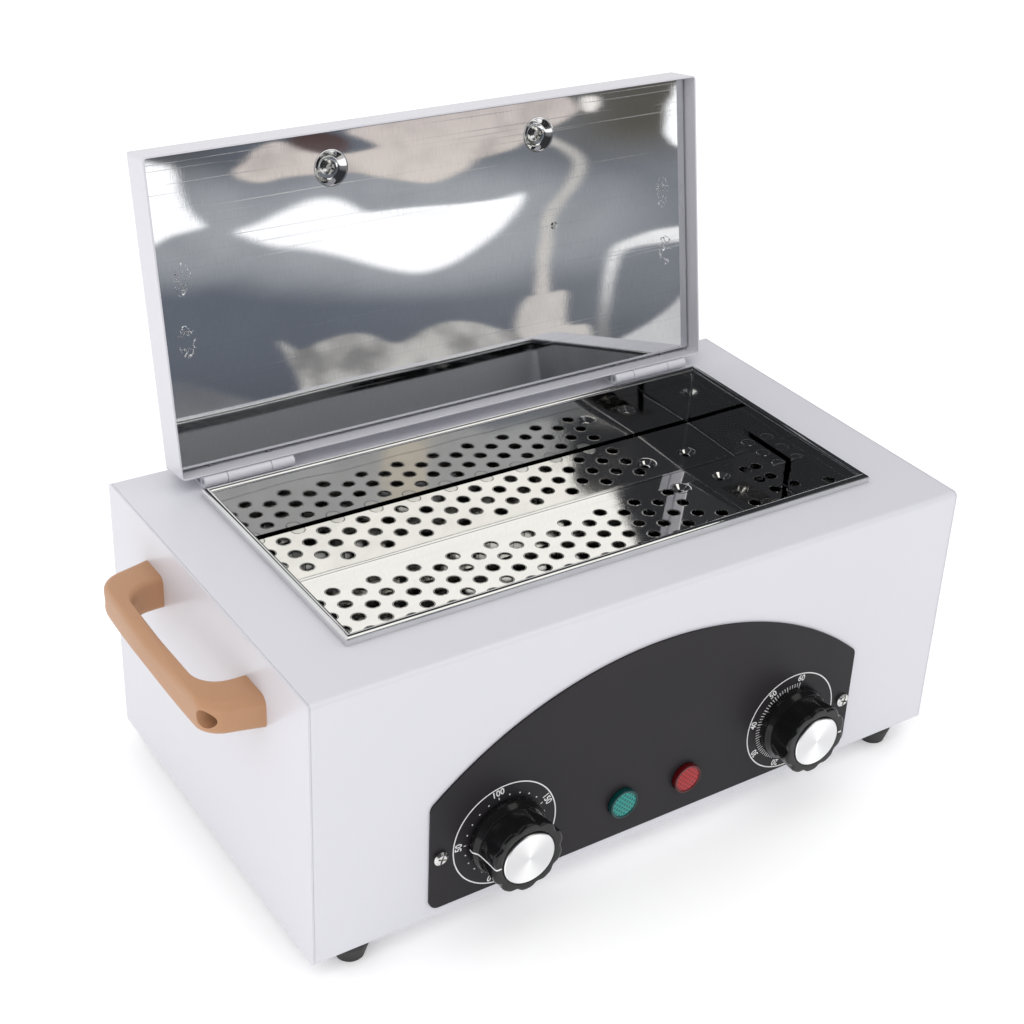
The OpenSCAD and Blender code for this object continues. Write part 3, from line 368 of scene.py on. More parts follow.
@dataclass(frozen=True)
class Lattice:
    """The tray's staggered holes, fold and cross line, as the solids have them.

    The places without holes are a strip from strip_front before the fold to strip_back behind it,
    the field right of field_left before the cross line and behind field_front before the fold, and
    what is right of holes_end past the cross line, apart from one column at end_x.
    """

    start_x: float
    first_y: float
    fold_y: float
    cross_x: float
    end_x: float
    column: float = 10.9 * MM
    pitch: float = 12.76 * MM
    radius: float = 3.2 * MM
    strip_front: float = 12.0 * MM
    strip_back: float = 8.0 * MM
    field_left: float = 19.0 * MM
    field_front: float = 44.0 * MM
    holes_end: float = 23.0 * MM

    def hole_distance(self, g: Graph) -> Value:
        """Works out the distance from a point to the nearest hole's centre.

        The lattice is two rectangular ones, each with columns two spacings apart, the second
        shifted by one column and half a pitch; the distance is the smaller of the two. A centre
        in a place without holes counts as a metre away.

        Args:
            g: the material's graph.

        Returns:
            The distance in metres.
        """
        x, y, _ = g.axes()
        half = (self.strip_front + self.strip_back) / 2
        strip_y = self.fold_y + (self.strip_back - self.strip_front) / 2
        near = []
        for shift in (0, 1):
            dx = (x - (self.start_x + shift * self.column)).wrap(2 * self.column)
            dy = (y - (self.first_y + shift * self.pitch / 2)).wrap(self.pitch)
            cx, cy = x - dx, y - dy
            strip = (cy - strip_y).band(0.0, half, 0.01 * MM)
            right = cx.past(self.cross_x - self.field_left)
            back = cy.past(self.fold_y - self.field_front)
            end = cx.past(self.cross_x + self.holes_end)
            near.append(dx.reach(dy) + strip.most(right * back).most(end))
        dy = (y - self.first_y).wrap(self.pitch)
        behind = (y - dy).past(self.fold_y - self.strip_front)
        return near[0].least(near[1]).least((x - self.end_x).reach(dy) + behind)


@dataclass(frozen=True)
class Stainless:
    """Mirror-polished sheet with a fine grain, rolling lines, scratches and slow waves."""

    name: str
    sheet: Sheet
    lattice: Lattice | None = None
    marks: tuple[Pair, ...] = ()
    base_y: float = 0.0
    base_z: float = 0.0

    def build(self) -> bpy.types.Material:
        """Builds the metal for its sheet.

        Returns:
            The finished material.
        """
        g = Graph(self.name)
        kinds = {Sheet.LID: self._lid, Sheet.TRAY: self._tray, Sheet.CHAMBER: self._chamber}
        return kinds[self.sheet](g)

    def _metal(self, g: Graph, tone: Value, rough: Value, normal: Value,
               share: Any = 1.0) -> bpy.types.Material:
        """Ends a graph as metal, all over or by a varying share."""
        return g.surface({"Specular IOR Level": 0.5}, Base_Color=tone, Metallic=share, Roughness=rough,
                         Normal=normal)

    def _lid(self, g: Graph) -> bpy.types.Material:
        """Makes the lid's liner: waves, an upright grain, long rolling lines and scratched spots.

        Up the sheet is v, the distance from its lower edge along its lean. A scratched spot is the
        noise's own contour lines, held within an upright oval. The strong rolling lines are real marks,
        and their lightening towards the top of the sheet is painted highlight.

        Args:
            g: the material's graph.

        Returns:
            The finished material.
        """
        x, y, z = g.axes()
        lean = LID_TURN - math.pi / 2
        v = (z - self.base_z) * math.cos(lean) + (y - self.base_y) * math.sin(lean)
        at = g.vector(x, v, 0.0)
        grain = g.noise(420.0, 3.0, stretch=(9.0, 0.35, 1.0), place=at)
        lines = g.noise(330.0, 2.0, stretch=(0.016, 2.2, 1.0), place=at)
        # Painted highlight: the strong rolling lines are set lighter towards the top of the sheet.
        upper = v.step(90 * MM, 160 * MM)
        fine = lines.step(0.57, 0.66) * 0.5
        strong = lines.step(0.655, 0.69) * (upper * 0.8 + 0.2)
        waves = g.noise(7.0, 1.0, offset=(3.1, 0.6, 0.0), place=at)
        spots: Any = None
        for mx, mv in self.marks:
            away = ((x - mx) * (x - mx) * 1.6 + (v - mv) * (v - mv) * 0.45).math("SQRT")
            spot = 1.0 - away.step(2.5 * MM, 6 * MM)
            spots = spot if spots is None else spots.most(spot)
        curls = g.noise(380.0, 1.5, stretch=(1.0, 0.8, 1.0), place=at)
        scratches = spots * curls.band(0.5, 0.01, 0.02) * g.noise(150.0, 1.0, place=at).step(0.4, 0.5)
        bright = scratches.most(strong * 0.55)
        tone = g.mix(grain.step(0.3, 0.75) * 0.32 + fine * 0.3, (0.84, 0.845, 0.86), (0.62, 0.64, 0.68))
        # The scratched spots and the strong rolling lines take the pale tone; the lines' lightening towards
        # the top is painted highlight.
        tone = g.mix(bright, tone, PALE_AND_GLINT)
        rough = grain.step(0.25, 0.8) * 0.03 + fine * 0.02 + bright * 0.35 + 0.012
        normal = g.bump(waves, 0.00055)
        normal = g.bump(grain, 0.0000016, over=normal)
        return self._metal(g, tone, rough, g.bump(scratches, 0.0002, over=normal))

    def _tray(self, g: Graph) -> bpy.types.Material:
        """Makes the tray: rolled-over hole edges, folds and slow waves.

        A hole's edge is a ring that rises just outside the hole's radius. The fold is soft, so that
        the plain strip in front of it still leans like the part behind it. A dark line along the fold is
        painted shade, and light lines just before it and along the cross line are painted highlights.

        Args:
            g: the material's graph.

        Returns:
            The finished material.
        """
        x, y, _ = g.axes()
        assert self.lattice is not None
        away = self.lattice.hole_distance(g)
        ring = 1.0 - away.step(self.lattice.radius + 0.1 * MM, self.lattice.radius + 0.6 * MM)
        before = y - self.lattice.fold_y
        # Painted shade along the fold, and painted highlights just before it and along the cross line.
        fold = before.band(0.0, 0.2 * MM, 0.3 * MM)
        twin_highlight = before.band(-1.6 * MM, 0.1 * MM, 0.3 * MM)
        cross = (x - self.lattice.cross_x).band(0.0, 0.25 * MM, 0.4 * MM)
        smears = g.noise(60.0, 3.0, stretch=(0.4, 1.5, 1.0))
        tone = g.mix(smears.step(0.4, 0.8) * 0.2, (0.90, 0.89, 0.865), (0.74, 0.73, 0.71))
        # Painted shade darkens the fold; painted highlights lighten the twin line and the cross line.
        tone = g.mix(fold * 0.75, tone, (0.22, 0.22, 0.22))
        tone = g.mix((cross * 0.6).most(twin_highlight * 0.5), tone, (0.95, 0.95, 0.95))
        rough = smears.step(0.3, 0.8) * 0.03 + ring * 0.1 + cross * 0.25 + 0.03
        facing = g.value("ShaderNodeNewGeometry", output="Normal")
        up = g.value("ShaderNodeSeparateXYZ", {0: facing}, "Z")
        strip = before.step(-12.8 * MM, -11.8 * MM) * (1.0 - before.step(0.0, 0.2 * MM))
        leant = g.vector(0.0, -math.sin(TRAY_SLOPE), math.cos(TRAY_SLOPE))
        leaning = g.mix(strip * up.step(0.95, 0.99), facing, leant)
        normal = g.bump(g.noise(10.0, 1.0), 0.0006, over=leaning)
        return self._metal(g, tone, rough, g.bump(ring, 0.00025, over=normal))

    def _chamber(self, g: Graph) -> bpy.types.Material:
        """Makes the tub and its rolled rim: slow waves, cloudy smears and a dull tint low down.

        The inside of its front wall is brushed, and shows as a plain grey in the lid.

        Args:
            g: the material's graph.

        Returns:
            The finished material.
        """
        _, y, z = g.axes()
        deep, high = y - self.base_y, z - self.base_z
        front = (1.0 - deep.step(5 * MM, 7 * MM)) * (1.0 - high.step(56 * MM, 58 * MM))
        smears = g.noise(40.0, 4.0)
        low = 1.0 - high.step(-20 * MM, 30 * MM)
        tone = g.mix(smears.step(0.35, 0.75) * 0.35, (0.78, 0.785, 0.79), (0.58, 0.58, 0.58))
        tone = g.mix(low * 0.3, tone, (0.50, 0.45, 0.37))
        tone = g.mix(front, tone, (0.70, 0.71, 0.74))
        rough = smears.step(0.3, 0.8) * 0.04 + low * 0.04 + front * 0.4 + 0.035
        normal = g.bump(g.noise(16.0, 1.0), 0.0006)
        normal = g.bump(g.noise(500.0, 2.0), 0.000005, over=normal)
        return self._metal(g, tone, rough, normal, 1.0 - front * 0.75)


@dataclass(frozen=True)
class SpunCap:
    """Spun aluminium: fine rings about an axis, with two bright wedges and a bright edge ring painted into
    its colour as highlights.
    """

    name: str
    x: float
    z: float
    radius: float
    highlight_turn: float = 1.45

    def build(self) -> bpy.types.Material:
        """Builds the metal.

        The rings are a noise of the distance from the axis. The wedges are painted highlights, the square of
        0.5 + 0.5 cos(2 (a - turn)), where a is the angle about the axis, and a thin ring at the edge
        is a painted highlight too.

        Returns:
            The finished material.
        """
        g = Graph(self.name)
        px, _, pz = g.axes()
        dx, dz = px - self.x, pz - self.z
        away = dx.reach(dz)
        rings = g.noise(1.0, 3.0, place=g.vector(away * 9000.0, 0.0, 0.0))
        broad = g.noise(1.0, 1.0, place=g.vector(away * 1500.0, 0.0, 0.0))
        angle = dz.math("ARCTAN2", dx)
        # Painted highlight: two bright wedges about the axis, set in the colour where the rings would catch
        # the light.
        highlight_wedge = ((angle - self.highlight_turn) * 2.0).math("COSINE") * 0.5 + 0.5
        # Painted highlight: a thin bright ring just inside the cap's edge.
        edge = away.step(self.radius - 0.5 * MM, self.radius - 0.3 * MM)
        tone = g.mix(rings * 0.6 + broad * 0.4, (0.78, 0.78, 0.785), (0.68, 0.68, 0.69))
        tone = g.mix((highlight_wedge * highlight_wedge).most(edge), tone, PALE_AND_GLINT)
        return g.surface({"Metallic": 1.0}, Base_Color=tone, Roughness=rings * 0.1 + 0.26,
                         Normal=g.bump(rings, 0.00003))


@dataclass(frozen=True)
class LensColour:
    """Moulded translucent plastic: a net of small diamond cells inside a dark rim."""

    name: str
    net: Colour
    cell: Colour
    rim: Colour
    x: float
    z: float
    field: float
    pitch: float = 1.9 * MM
    narrow: float = 0.94

    def build(self) -> bpy.types.Material:
        """Builds the plastic.

        Across each of the two diagonals, a triangle wave is 0 in the middle of a cell and 1 at its
        edges. The larger of the two is 1 on the net and falls to each cell's middle.

        Returns:
            The finished material.
        """
        g = Graph(self.name)
        px, _, pz = g.axes()
        dx, dz = px - self.x, pz - self.z
        diagonal = self.pitch * 1.4142
        across = (dx * self.narrow + dz).wrap(diagonal)
        along = (dx * self.narrow - dz).wrap(diagonal)
        far = abs(across).most(abs(along)) / (diagonal / 2)
        inside = 1.0 - dx.reach(dz).step(self.field - 0.2 * MM, self.field)
        cloud = g.noise(260.0, 2.0)
        tone = g.mix(far.step(0.5, 0.72) * 0.9 + cloud * 0.1, self.cell, self.net)
        tone = g.mix(inside, self.rim, tone)
        return g.surface({"Specular IOR Level": 0.3, "Coat Weight": 0.08, "Coat Roughness": 0.04},
                         Base_Color=tone, Roughness=cloud * 0.1 + 0.14, Normal=g.bump(far * inside, 0.00012))


Finish = Plain | Enamel | Stainless | SpunCap | LensColour


# ---------------------------------------------------------------------- meshes


def grid_mesh(name: str, points: np.ndarray, closed: bool = False) -> bpy.types.Object:
    """Makes a smooth mesh from a grid of points.

    Args:
        name: the object's name.
        points: rows by columns by 3, in the row frame.
        closed: whether the last column joins the first.

    Returns:
        The new object, at the origin.
    """
    rows, columns = points.shape[:2]
    row = np.arange(rows - 1)[:, None] * columns
    c = np.arange(columns if closed else columns - 1)[None, :]
    c2 = (c + 1) % columns
    faces = np.stack([row + c, row + c2, row + columns + c2, row + columns + c], -1)
    return face_mesh(name, points.reshape(-1, 3), faces.reshape(-1, 4).tolist(), True)


def face_mesh(name: str, points: np.ndarray, faces: list[list[int]],
              smooth: bool = False) -> bpy.types.Object:
    """Makes a mesh from points and faces and links it to the scene.

    Args:
        name: the object's name.
        points: the points, in the row frame.
        faces: each face's points, by number.
        smooth: whether the faces are shaded smooth.

    Returns:
        The new object, at the origin.
    """
    mesh = bpy.data.meshes.new(name)
    mesh.from_pydata(points.tolist(), [], faces)
    mesh.polygons.foreach_set("use_smooth", np.full(len(mesh.polygons), smooth))
    mesh.update()
    piece = bpy.data.objects.new(name, mesh)
    bpy.context.scene.collection.objects.link(piece)
    return piece


def evaluated_mesh(piece: bpy.types.Object) -> bpy.types.Mesh:
    """A new mesh of what an object's curve or modifiers make."""
    bpy.context.view_layer.update()
    return bpy.data.meshes.new_from_object(piece.evaluated_get(bpy.context.evaluated_depsgraph_get()))


def dress(piece: bpy.types.Object, material: bpy.types.Material) -> bpy.types.Object:
    """Gives a piece one material, and gives back the piece."""
    piece.data.materials.clear()
    piece.data.materials.append(material)
    return piece


def seal(piece: bpy.types.Object) -> bpy.types.Object:
    """Closes a mesh's open rings and turns all its faces outwards.

    Args:
        piece: a moulding whose rings of points are open at one end or both.

    Returns:
        The same piece.
    """
    work = bmesh.new()
    work.from_mesh(piece.data)
    bmesh.ops.holes_fill(work, edges=[edge for edge in work.edges if edge.is_boundary])
    bmesh.ops.recalc_face_normals(work, faces=work.faces[:])
    work.to_mesh(piece.data)
    work.free()
    return piece


def show_side(piece: bpy.types.Object, out: Vector) -> bpy.types.Object:
    """Turns an open sheet's faces to the side that a direction points to, and gives it back."""
    if piece.data.polygons[0].normal.dot(out) < 0:
        piece.data.flip_normals()
    return piece


def mirror_only(piece: bpy.types.Object) -> None:
    """Hides a piece from the camera, diffuse light, shadows, transmission and volumes, so that only mirrors
    see it.
    """
    piece.visible_camera = piece.visible_diffuse = piece.visible_shadow = False
    piece.visible_transmission = piece.visible_volume_scatter = False


def middle(node: str) -> Vector:
    """The centre of a solid's box."""
    low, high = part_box(node)
    return (low + high) / 2


def disc(node: str) -> Triple:
    """A round solid's axis, as x and z, and its radius."""
    low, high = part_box(node)
    return middle(node).x, middle(node).z, (high.x - low.x) / 2


def arc(out: float, along: float, radius: float, turn: np.ndarray) -> np.ndarray:
    """Points of an arc about a centre, each at (out + r cos(turn), along + r sin(turn))."""
    return np.stack([out + radius * np.cos(turn), along + radius * np.sin(turn)], -1)


# -------------------------------------------------------------- sub-assemblies


@dataclass
class DialPrint:
    """The white print round one control: a ring, marks inside it and numbers turned outwards.

    Angles are clockwise from straight up, in degrees, and radii are from the dial's axis. A mark is
    its angle, its inner and outer radius and its width.
    """

    name: str
    x: float
    z: float
    face: float
    numbers: tuple[tuple[str, float], ...]
    marks: tuple[tuple[float, float, float, float], ...]
    ring_r: float = 27.2 * MM
    line: float = 0.62 * MM
    number_r: float = 24.45 * MM
    number_h: float = 3.5 * MM
    capital_share: float = 0.72
    narrow: float = 0.9
    weight: float = 0.09 * MM
    raised: float = 0.04 * MM

    def place(self, across: np.ndarray, up: np.ndarray) -> np.ndarray:
        """Points just above the panel, from their distances across and up from the axis."""
        return np.stack([self.x + across, np.full(across.shape, self.face - self.raised), self.z + up], -1)

    def strip(self, angles: np.ndarray, inner: float, outer: float) -> tuple[np.ndarray, list[list[int]]]:
        """Makes a flat band along a run of angles, each point at (r sin(a), r cos(a)).

        Args:
            angles: the run, in degrees.
            inner: the band's inner radius.
            outer: its outer radius.

        Returns:
            Its points and its faces.
        """
        a = np.radians(angles)[:, None]
        r = np.array([inner, outer])[None, :]
        faces = 2 * np.arange(len(angles) - 1)[:, None] + np.array([[0, 1, 3, 2]])
        return self.place(r * np.sin(a), r * np.cos(a)).reshape(-1, 3), faces.tolist()

    def numeral(self, text: str, angle: float) -> tuple[np.ndarray, list[list[int]]]:
        """Makes one number, its top turned away from the axis.

        Args:
            text: the number.
            angle: its place round the dial.

        Returns:
            Its points and its faces.
        """
        curve = bpy.data.curves.new("numeral", "FONT")
        curve.body, curve.size = text, self.number_h / self.capital_share
        curve.align_x, curve.align_y = "CENTER", "CENTER"
        curve.resolution_u, curve.offset = 4, self.weight
        holder = bpy.data.objects.new("numeral", curve)
        bpy.context.scene.collection.objects.link(holder)
        mesh = evaluated_mesh(holder)
        flat = np.array([v.co[:2] for v in mesh.vertices])
        faces = [list(p.vertices) for p in mesh.polygons]
        bpy.data.objects.remove(holder)
        bpy.data.curves.remove(curve)
        bpy.data.meshes.remove(mesh)
        a = math.radians(angle)
        out, along = np.array([math.sin(a), math.cos(a)]), np.array([math.cos(a), -math.sin(a)])
        placed = self.narrow * flat[:, :1] * along + (flat[:, 1:] + self.number_r) * out
        return self.place(placed[:, 0], placed[:, 1]), faces

    def build(self, material: bpy.types.Material) -> bpy.types.Object:
        """Builds the print as one flat mesh just above the panel.

        Args:
            material: the print's finish.

        Returns:
            The print.
        """
        half = self.line / 2
        parts = [self.strip(np.linspace(0, 360, 181), self.ring_r - half, self.ring_r + half)]
        for angle, inner, outer, width in self.marks:
            turn = math.degrees(width / (inner + outer))
            parts.append(self.strip(np.array([angle - turn, angle + turn]), inner, outer))
        parts += [self.numeral(text, angle) for text, angle in self.numbers]
        faces, count = [], 0
        for part_points, part_faces in parts:
            faces += [[i + count for i in face] for face in part_faces]
            count += len(part_points)
        piece = dress(face_mesh(self.name, np.concatenate([p for p, _ in parts]), faces), material)
        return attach(piece, "casing")


@dataclass
class Knob:
    """A dial knob: a bevelled skirt, a waist and a grip whose hollows deepen to its front.

    Stations run from the foot over the front to the middle of the cap's seat, as distance from the
    foot, radius and hollow depth in millimetres, for a knob of the tall size, and are drawn together
    to the solid's own length. The pointer is a thin line over some of them.
    """

    node: str
    body: str
    pointer: float
    flutes: int = 10
    samples: int = 360
    stations: tuple[Triple, ...] = (
        (0.0, 18.9, 0.0), (0.15, 19.3, 0.0), (0.6, 19.65, 0.0), (1.2, 19.78, 0.0), (3.6, 19.78, 0.0),
        (4.1, 19.6, 0.0), (5.2, 18.85, 0.0), (6.3, 18.2, 0.0), (6.9, 18.05, 0.02), (8.0, 18.05, 0.15),
        (10.0, 18.1, 0.35), (12.0, 18.25, 0.65), (14.0, 18.4, 0.95), (16.0, 18.5, 1.15),
        (18.2, 18.6, 1.3), (19.4, 18.6, 1.35), (19.9, 18.5, 1.35), (20.3, 18.25, 1.3),
        (20.55, 17.9, 1.25), (20.68, 17.4, 1.1), (20.7, 16.6, 0.8), (20.7, 15.6, 0.3), (20.7, 14.4, 0.0),
        (20.62, 13.95, 0.0), (20.35, 13.7, 0.0), (19.3, 13.65, 0.0), (19.25, 0.4, 0.0))
    pointer_run: tuple[int, int] = (3, 23)
    tall: float = 20.7 * MM
    line: float = 0.8 * MM
    raised: float = 0.05 * MM
    front_share: float = 0.99

    def radius(self, station: np.ndarray, angle: np.ndarray) -> np.ndarray:
        """The surface's radius: the station's own less its depth times a hollow between lobes.

        A hollow is (0.5 + 0.5 cos(flutes a)) to the power 2.2, so that the lobes are wide.
        """
        hollow = (0.5 + 0.5 * np.cos(self.flutes * angle)) ** 2.2
        return station[:, 1:2] - station[:, 2:3] * hollow

    def place(self, along: np.ndarray, radius: np.ndarray, angle: np.ndarray) -> np.ndarray:
        """Places points of the knob, each at x + r cos(a), foot - s, z + r sin(a).

        Args:
            along: the distance s from the foot.
            radius: the distance r from the axis.
            angle: the angle a about the axis.

        Returns:
            The points, in the row frame.
        """
        centre, foot = middle(self.node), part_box(self.node)[1].y
        return np.stack([centre.x + radius * np.cos(angle), foot - along + 0 * radius,
                         centre.z + radius * np.sin(angle)], -1)

    def build(self, black: bpy.types.Material, white: bpy.types.Material) -> None:
        """Builds the knob and its pointer line, and stands them for the plain solid.

        Args:
            black: the moulding's finish.
            white: the pointer's finish.
        """
        low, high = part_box(self.node)
        station = np.array(self.stations) * MM
        front = self.front_share * (high.y - low.y)
        station[:, 0] *= (high.y - low.y) / self.tall
        angle = np.linspace(0, 2 * math.pi, self.samples, endpoint=False)[None, :]
        points = self.place(station[:, :1], self.radius(station, angle), angle)
        knob = seal(dress(grid_mesh(f"{self.node}_moulding", points[:, ::-1], closed=True), black))
        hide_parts(self.node)
        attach(knob, self.body)
        run = station[slice(*self.pointer_run)]
        width = np.linspace(-0.5, 0.5, 3)[None, :] * self.line
        radius = self.radius(run, np.full((1, 3), self.pointer)) + self.raised
        turn = self.pointer + width / radius
        lift = np.where(run[:, :1] > front, self.raised, 0.0)
        points = self.place(run[:, :1] + lift, radius, turn)[:, ::-1]
        mark = dress(grid_mesh(f"{self.node}_pointer", points), white)
        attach(mark, self.body)


@dataclass(frozen=True)
class Axes:
    """A piece's own frame: where it starts and its three directions."""

    start: Vector
    out: Vector
    along: Vector
    across: Vector

    def place(self, out: np.ndarray, along: np.ndarray, across: np.ndarray) -> np.ndarray:
        """Points from their distances along the three directions."""
        return (np.array(self.start) + out[..., None] * np.array(self.out)
                + along[..., None] * np.array(self.along) + across[..., None] * np.array(self.across))


def lid_axes(y: float, z: float) -> Axes:
    """Finds the open lid's frame at a point of its middle.

    The lid is turned back about the hinge pins by its opening angle.

    Args:
        y: the point's distance behind the lid's rear wall, as on the closed lid.
        z: its height over the lid's lower edge, as on the closed lid.

    Returns:
        The frame, which points out of the lid's top, along X and to the lid's back.
    """
    pin, pin_y, pin_z = middle("left_hinge_pin"), 3.2 * MM, 1.6 * MM
    up = Vector((0.0, math.sin(LID_TURN), math.cos(LID_TURN)))
    back = Vector((0.0, math.cos(LID_TURN), -math.sin(LID_TURN)))
    start = Vector((0.0, pin.y, pin.z)) + back * (y - pin_y) + up * (z - pin_z)
    return Axes(start, up, Vector((1.0, 0.0, 0.0)), back)


@dataclass
class BowHandle:
    """A moulded bow handle: a rounded bar that bends down at both ends into its legs."""

    node: str
    body: str
    axes: Axes
    span: float
    wells: bool = True
    reach: float = 27 * MM
    width: float = 17 * MM
    bar: float = 7.5 * MM
    bow_r: float = 780 * MM
    corner_r: float = 12 * MM
    corner_in: float = 6 * MM
    slot_r: float = 14 * MM
    slot_in: float = 11.5 * MM
    end: float = 10 * MM
    outer_r: float = 4.6 * MM
    inner_r: float = 3.0 * MM
    well_r: float = 4.3 * MM
    well_floor: float = 9 * MM
    steps: tuple[int, int, int] = (40, 28, 12)

    def outer(self) -> np.ndarray:
        """Works out the outline's outer half, from the middle to the seat.

        A flat arc meets a corner arc inside it, and a straight leg leaves that arc at a tangent.

        Returns:
            Its points, out and along.
        """
        half, corner_v = self.span / 2 + self.end, self.span / 2 - self.corner_in
        bow_u = self.reach - self.bow_r
        corner_u = bow_u + math.sqrt((self.bow_r - self.corner_r) ** 2 - corner_v ** 2)
        leave = math.atan2(half - corner_v, -corner_u) - math.acos(
            self.corner_r / math.hypot(corner_u, half - corner_v))
        meet = math.asin(corner_v / (self.bow_r - self.corner_r))
        bow = arc(bow_u, 0.0, self.bow_r, np.linspace(0.0, meet, self.steps[0]))
        corner = arc(corner_u, corner_v, self.corner_r, np.linspace(meet, leave, self.steps[1])[1:])
        leg = np.linspace(corner[-1], (0.0, half), self.steps[2])[1:]
        return np.concatenate([bow, corner, leg])

    def inner(self) -> np.ndarray:
        """Works out the opening's half outline, matched to the outer one.

        It is a straight line, a corner arc and another straight line.

        Returns:
            Its points, out and along.
        """
        top, side = self.reach - self.bar, self.span / 2 - self.slot_in
        bar = np.linspace((top, 0.0), (top, side - self.slot_r), self.steps[0])
        turn = np.linspace(0.0, math.pi / 2, self.steps[1])[1:]
        leg = np.linspace((top - self.slot_r, side), (0.0, side), self.steps[2])[1:]
        return np.concatenate([bar, arc(top - self.slot_r, side - self.slot_r, self.slot_r, turn), leg])

    def section(self, thick: np.ndarray) -> tuple[np.ndarray, np.ndarray]:
        """Works out a round-cornered rectangle from the opening to the outer face.

        Each corner is a quarter circle, larger on the outer face than on the inner one.

        Args:
            thick: the bar's thickness at each station.

        Returns:
            For each station, the points' distances from the opening and from the middle plane.
        """
        quarter = np.linspace(0.0, math.pi / 2, 9)
        a, b = [], []
        for corner, (r, is_outer, side) in enumerate(((self.outer_r, True, 1), (self.inner_r, False, 1),
                                                      (self.inner_r, False, -1), (self.outer_r, True, -1))):
            turn = quarter + corner * math.pi / 2
            base = thick - r if is_outer else np.full_like(thick, r)
            edge = side * (self.width / 2 - r) + r * np.sin(turn)
            a.append(base[:, None] + r * np.cos(turn)[None, :])
            b.append(np.broadcast_to(edge, (len(thick), len(turn))))
        return np.concatenate(a, 1), np.concatenate(b, 1)

    def build(self, material: bpy.types.Material) -> None:
        """Carries the section along the outline, closes both seats and sinks the screw wells.

        Args:
            material: the moulding's finish.
        """
        outer, inner = (np.concatenate([half[:0:-1] * [1, -1], half])
                        for half in (self.outer(), self.inner()))
        gap = outer - inner
        thick = np.linalg.norm(gap, axis=1)
        a, b = self.section(thick)
        flat = inner[:, None, :] + gap[:, None, :] / thick[:, None, None] * a[..., None]
        points = self.axes.place(flat[..., 0], flat[..., 1], b)
        piece = seal(grid_mesh(f"{self.node}_moulding", points, closed=True))
        if self.wells:
            self.sink_wells(piece)
        piece.data.polygons.foreach_set("use_smooth", np.full(len(piece.data.polygons), True))
        piece.data.set_sharp_from_angle(angle=math.radians(38))
        dress(piece, material)
        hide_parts(self.node)
        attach(piece, self.body)

    def sink_wells(self, piece: bpy.types.Object) -> None:
        """Cuts a round well down to its floor over each screw.

        Args:
            piece: the moulding.
        """
        turn = np.linspace(0, 2 * math.pi, 48, endpoint=False)[None, :]
        out = np.array([self.well_floor, self.reach + 5 * MM])[:, None] + 0 * turn
        for side in (-1, 1):
            ring = self.axes.place(out, side * self.span / 2 + self.well_r * np.cos(turn) + 0 * out,
                                   self.well_r * np.sin(turn) + 0 * out)
            cutter = seal(grid_mesh("well", ring, closed=True))
            cut = piece.modifiers.new("well", "BOOLEAN")
            cut.operation, cut.object, cut.solver = "DIFFERENCE", cutter, "EXACT"
            done = evaluated_mesh(piece)
            piece.modifiers.clear()
            piece.data = done
            bpy.data.objects.remove(cutter)


@dataclass
class Dish:
    """A shallow pressed dish with a round edge, a straight wall and a flat middle.

    Its profile runs from just outside the solid's own edge to the hole in its middle. The edge is
    measured from the edge's radius, in millimetres, and the wall from it as a share of the wall's
    width; each has a share of the depth.
    """

    name: str
    body: str
    axes: Axes
    edge_r: float
    depth: float
    hole_r: float
    wall: float = 3.0 * MM
    proud: float = 0.03 * MM
    edge_steps: tuple[float, ...] = (0.5, 0.15, -0.15, -0.45)
    wall_steps: tuple[float, ...] = (0.5, 0.85, 0.97)
    depth_shares: tuple[float, ...] = (-0.015, 0.0, 0.03, 0.12, 0.47, 0.82, 0.93, 0.96, 0.965)

    def build(self, material: bpy.types.Material) -> None:
        """Turns the dish's profile about its axis, just in front of the solid's own wall.

        Args:
            material: the dish's finish.
        """
        edge, wall = np.array(self.edge_steps) * MM, -self.wall * np.array(self.wall_steps)
        foot = [-self.wall - 0.25 * MM, self.hole_r - self.edge_r]
        r = np.maximum(self.edge_r + np.concatenate([edge, wall, foot]), self.hole_r)
        deep = self.depth * np.array(self.depth_shares) - self.proud
        a = np.linspace(0, 2 * math.pi, 96, endpoint=False)[None, :]
        points = self.axes.place(-deep[:, None] + 0 * a, r[:, None] * np.cos(a), r[:, None] * np.sin(a))
        piece = show_side(dress(grid_mesh(self.name, points, closed=True), material), self.axes.out)
        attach(piece, self.body)


@dataclass
class LampLens:
    """A lamp's moulded lens: a plain raised rim round a field that is a little lower."""

    node: str
    slot: str
    rim: float = 1.15 * MM
    edge: float = 0.45 * MM
    sunk: float = 0.35 * MM
    bowl: float = 0.25 * MM

    def build(self, material: bpy.types.Material) -> bpy.types.Object:
        """Builds the lens as rings about its axis, from the panel to the middle of the field.

        A ring lies at x + r cos(a), panel - height, z + r sin(a).

        Args:
            material: the lens's finish.

        Returns:
            The lens.
        """
        low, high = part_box(self.node)
        centre, reach, tall = (low + high) / 2, (high.x - low.x) / 2, high.y - low.y
        field_r = reach - self.rim
        turn, share = np.linspace(0.0, math.pi / 2, 7), np.linspace(0.0, 1.0, 24)
        r = np.concatenate([[reach, reach], reach - self.edge * (1 - np.cos(turn)), [field_r + 0.15 * MM],
                            field_r - (field_r - 0.02 * MM) * share])
        top = np.concatenate([[0.0, tall * 0.4], tall - self.edge * (1 - np.sin(turn)), [tall],
                              tall - self.sunk + self.bowl * np.sqrt(share)])
        a = np.linspace(0, 2 * math.pi, 96, endpoint=False)[None, :]
        points = np.stack([centre.x + r[:, None] * np.cos(a), high.y - top[:, None] + 0 * a,
                           centre.z + r[:, None] * np.sin(a)], -1)
        piece = seal(dress(grid_mesh(f"{self.node}_moulding", points[:, ::-1], closed=True), material))
        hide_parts(self.node)
        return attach(piece, "casing")


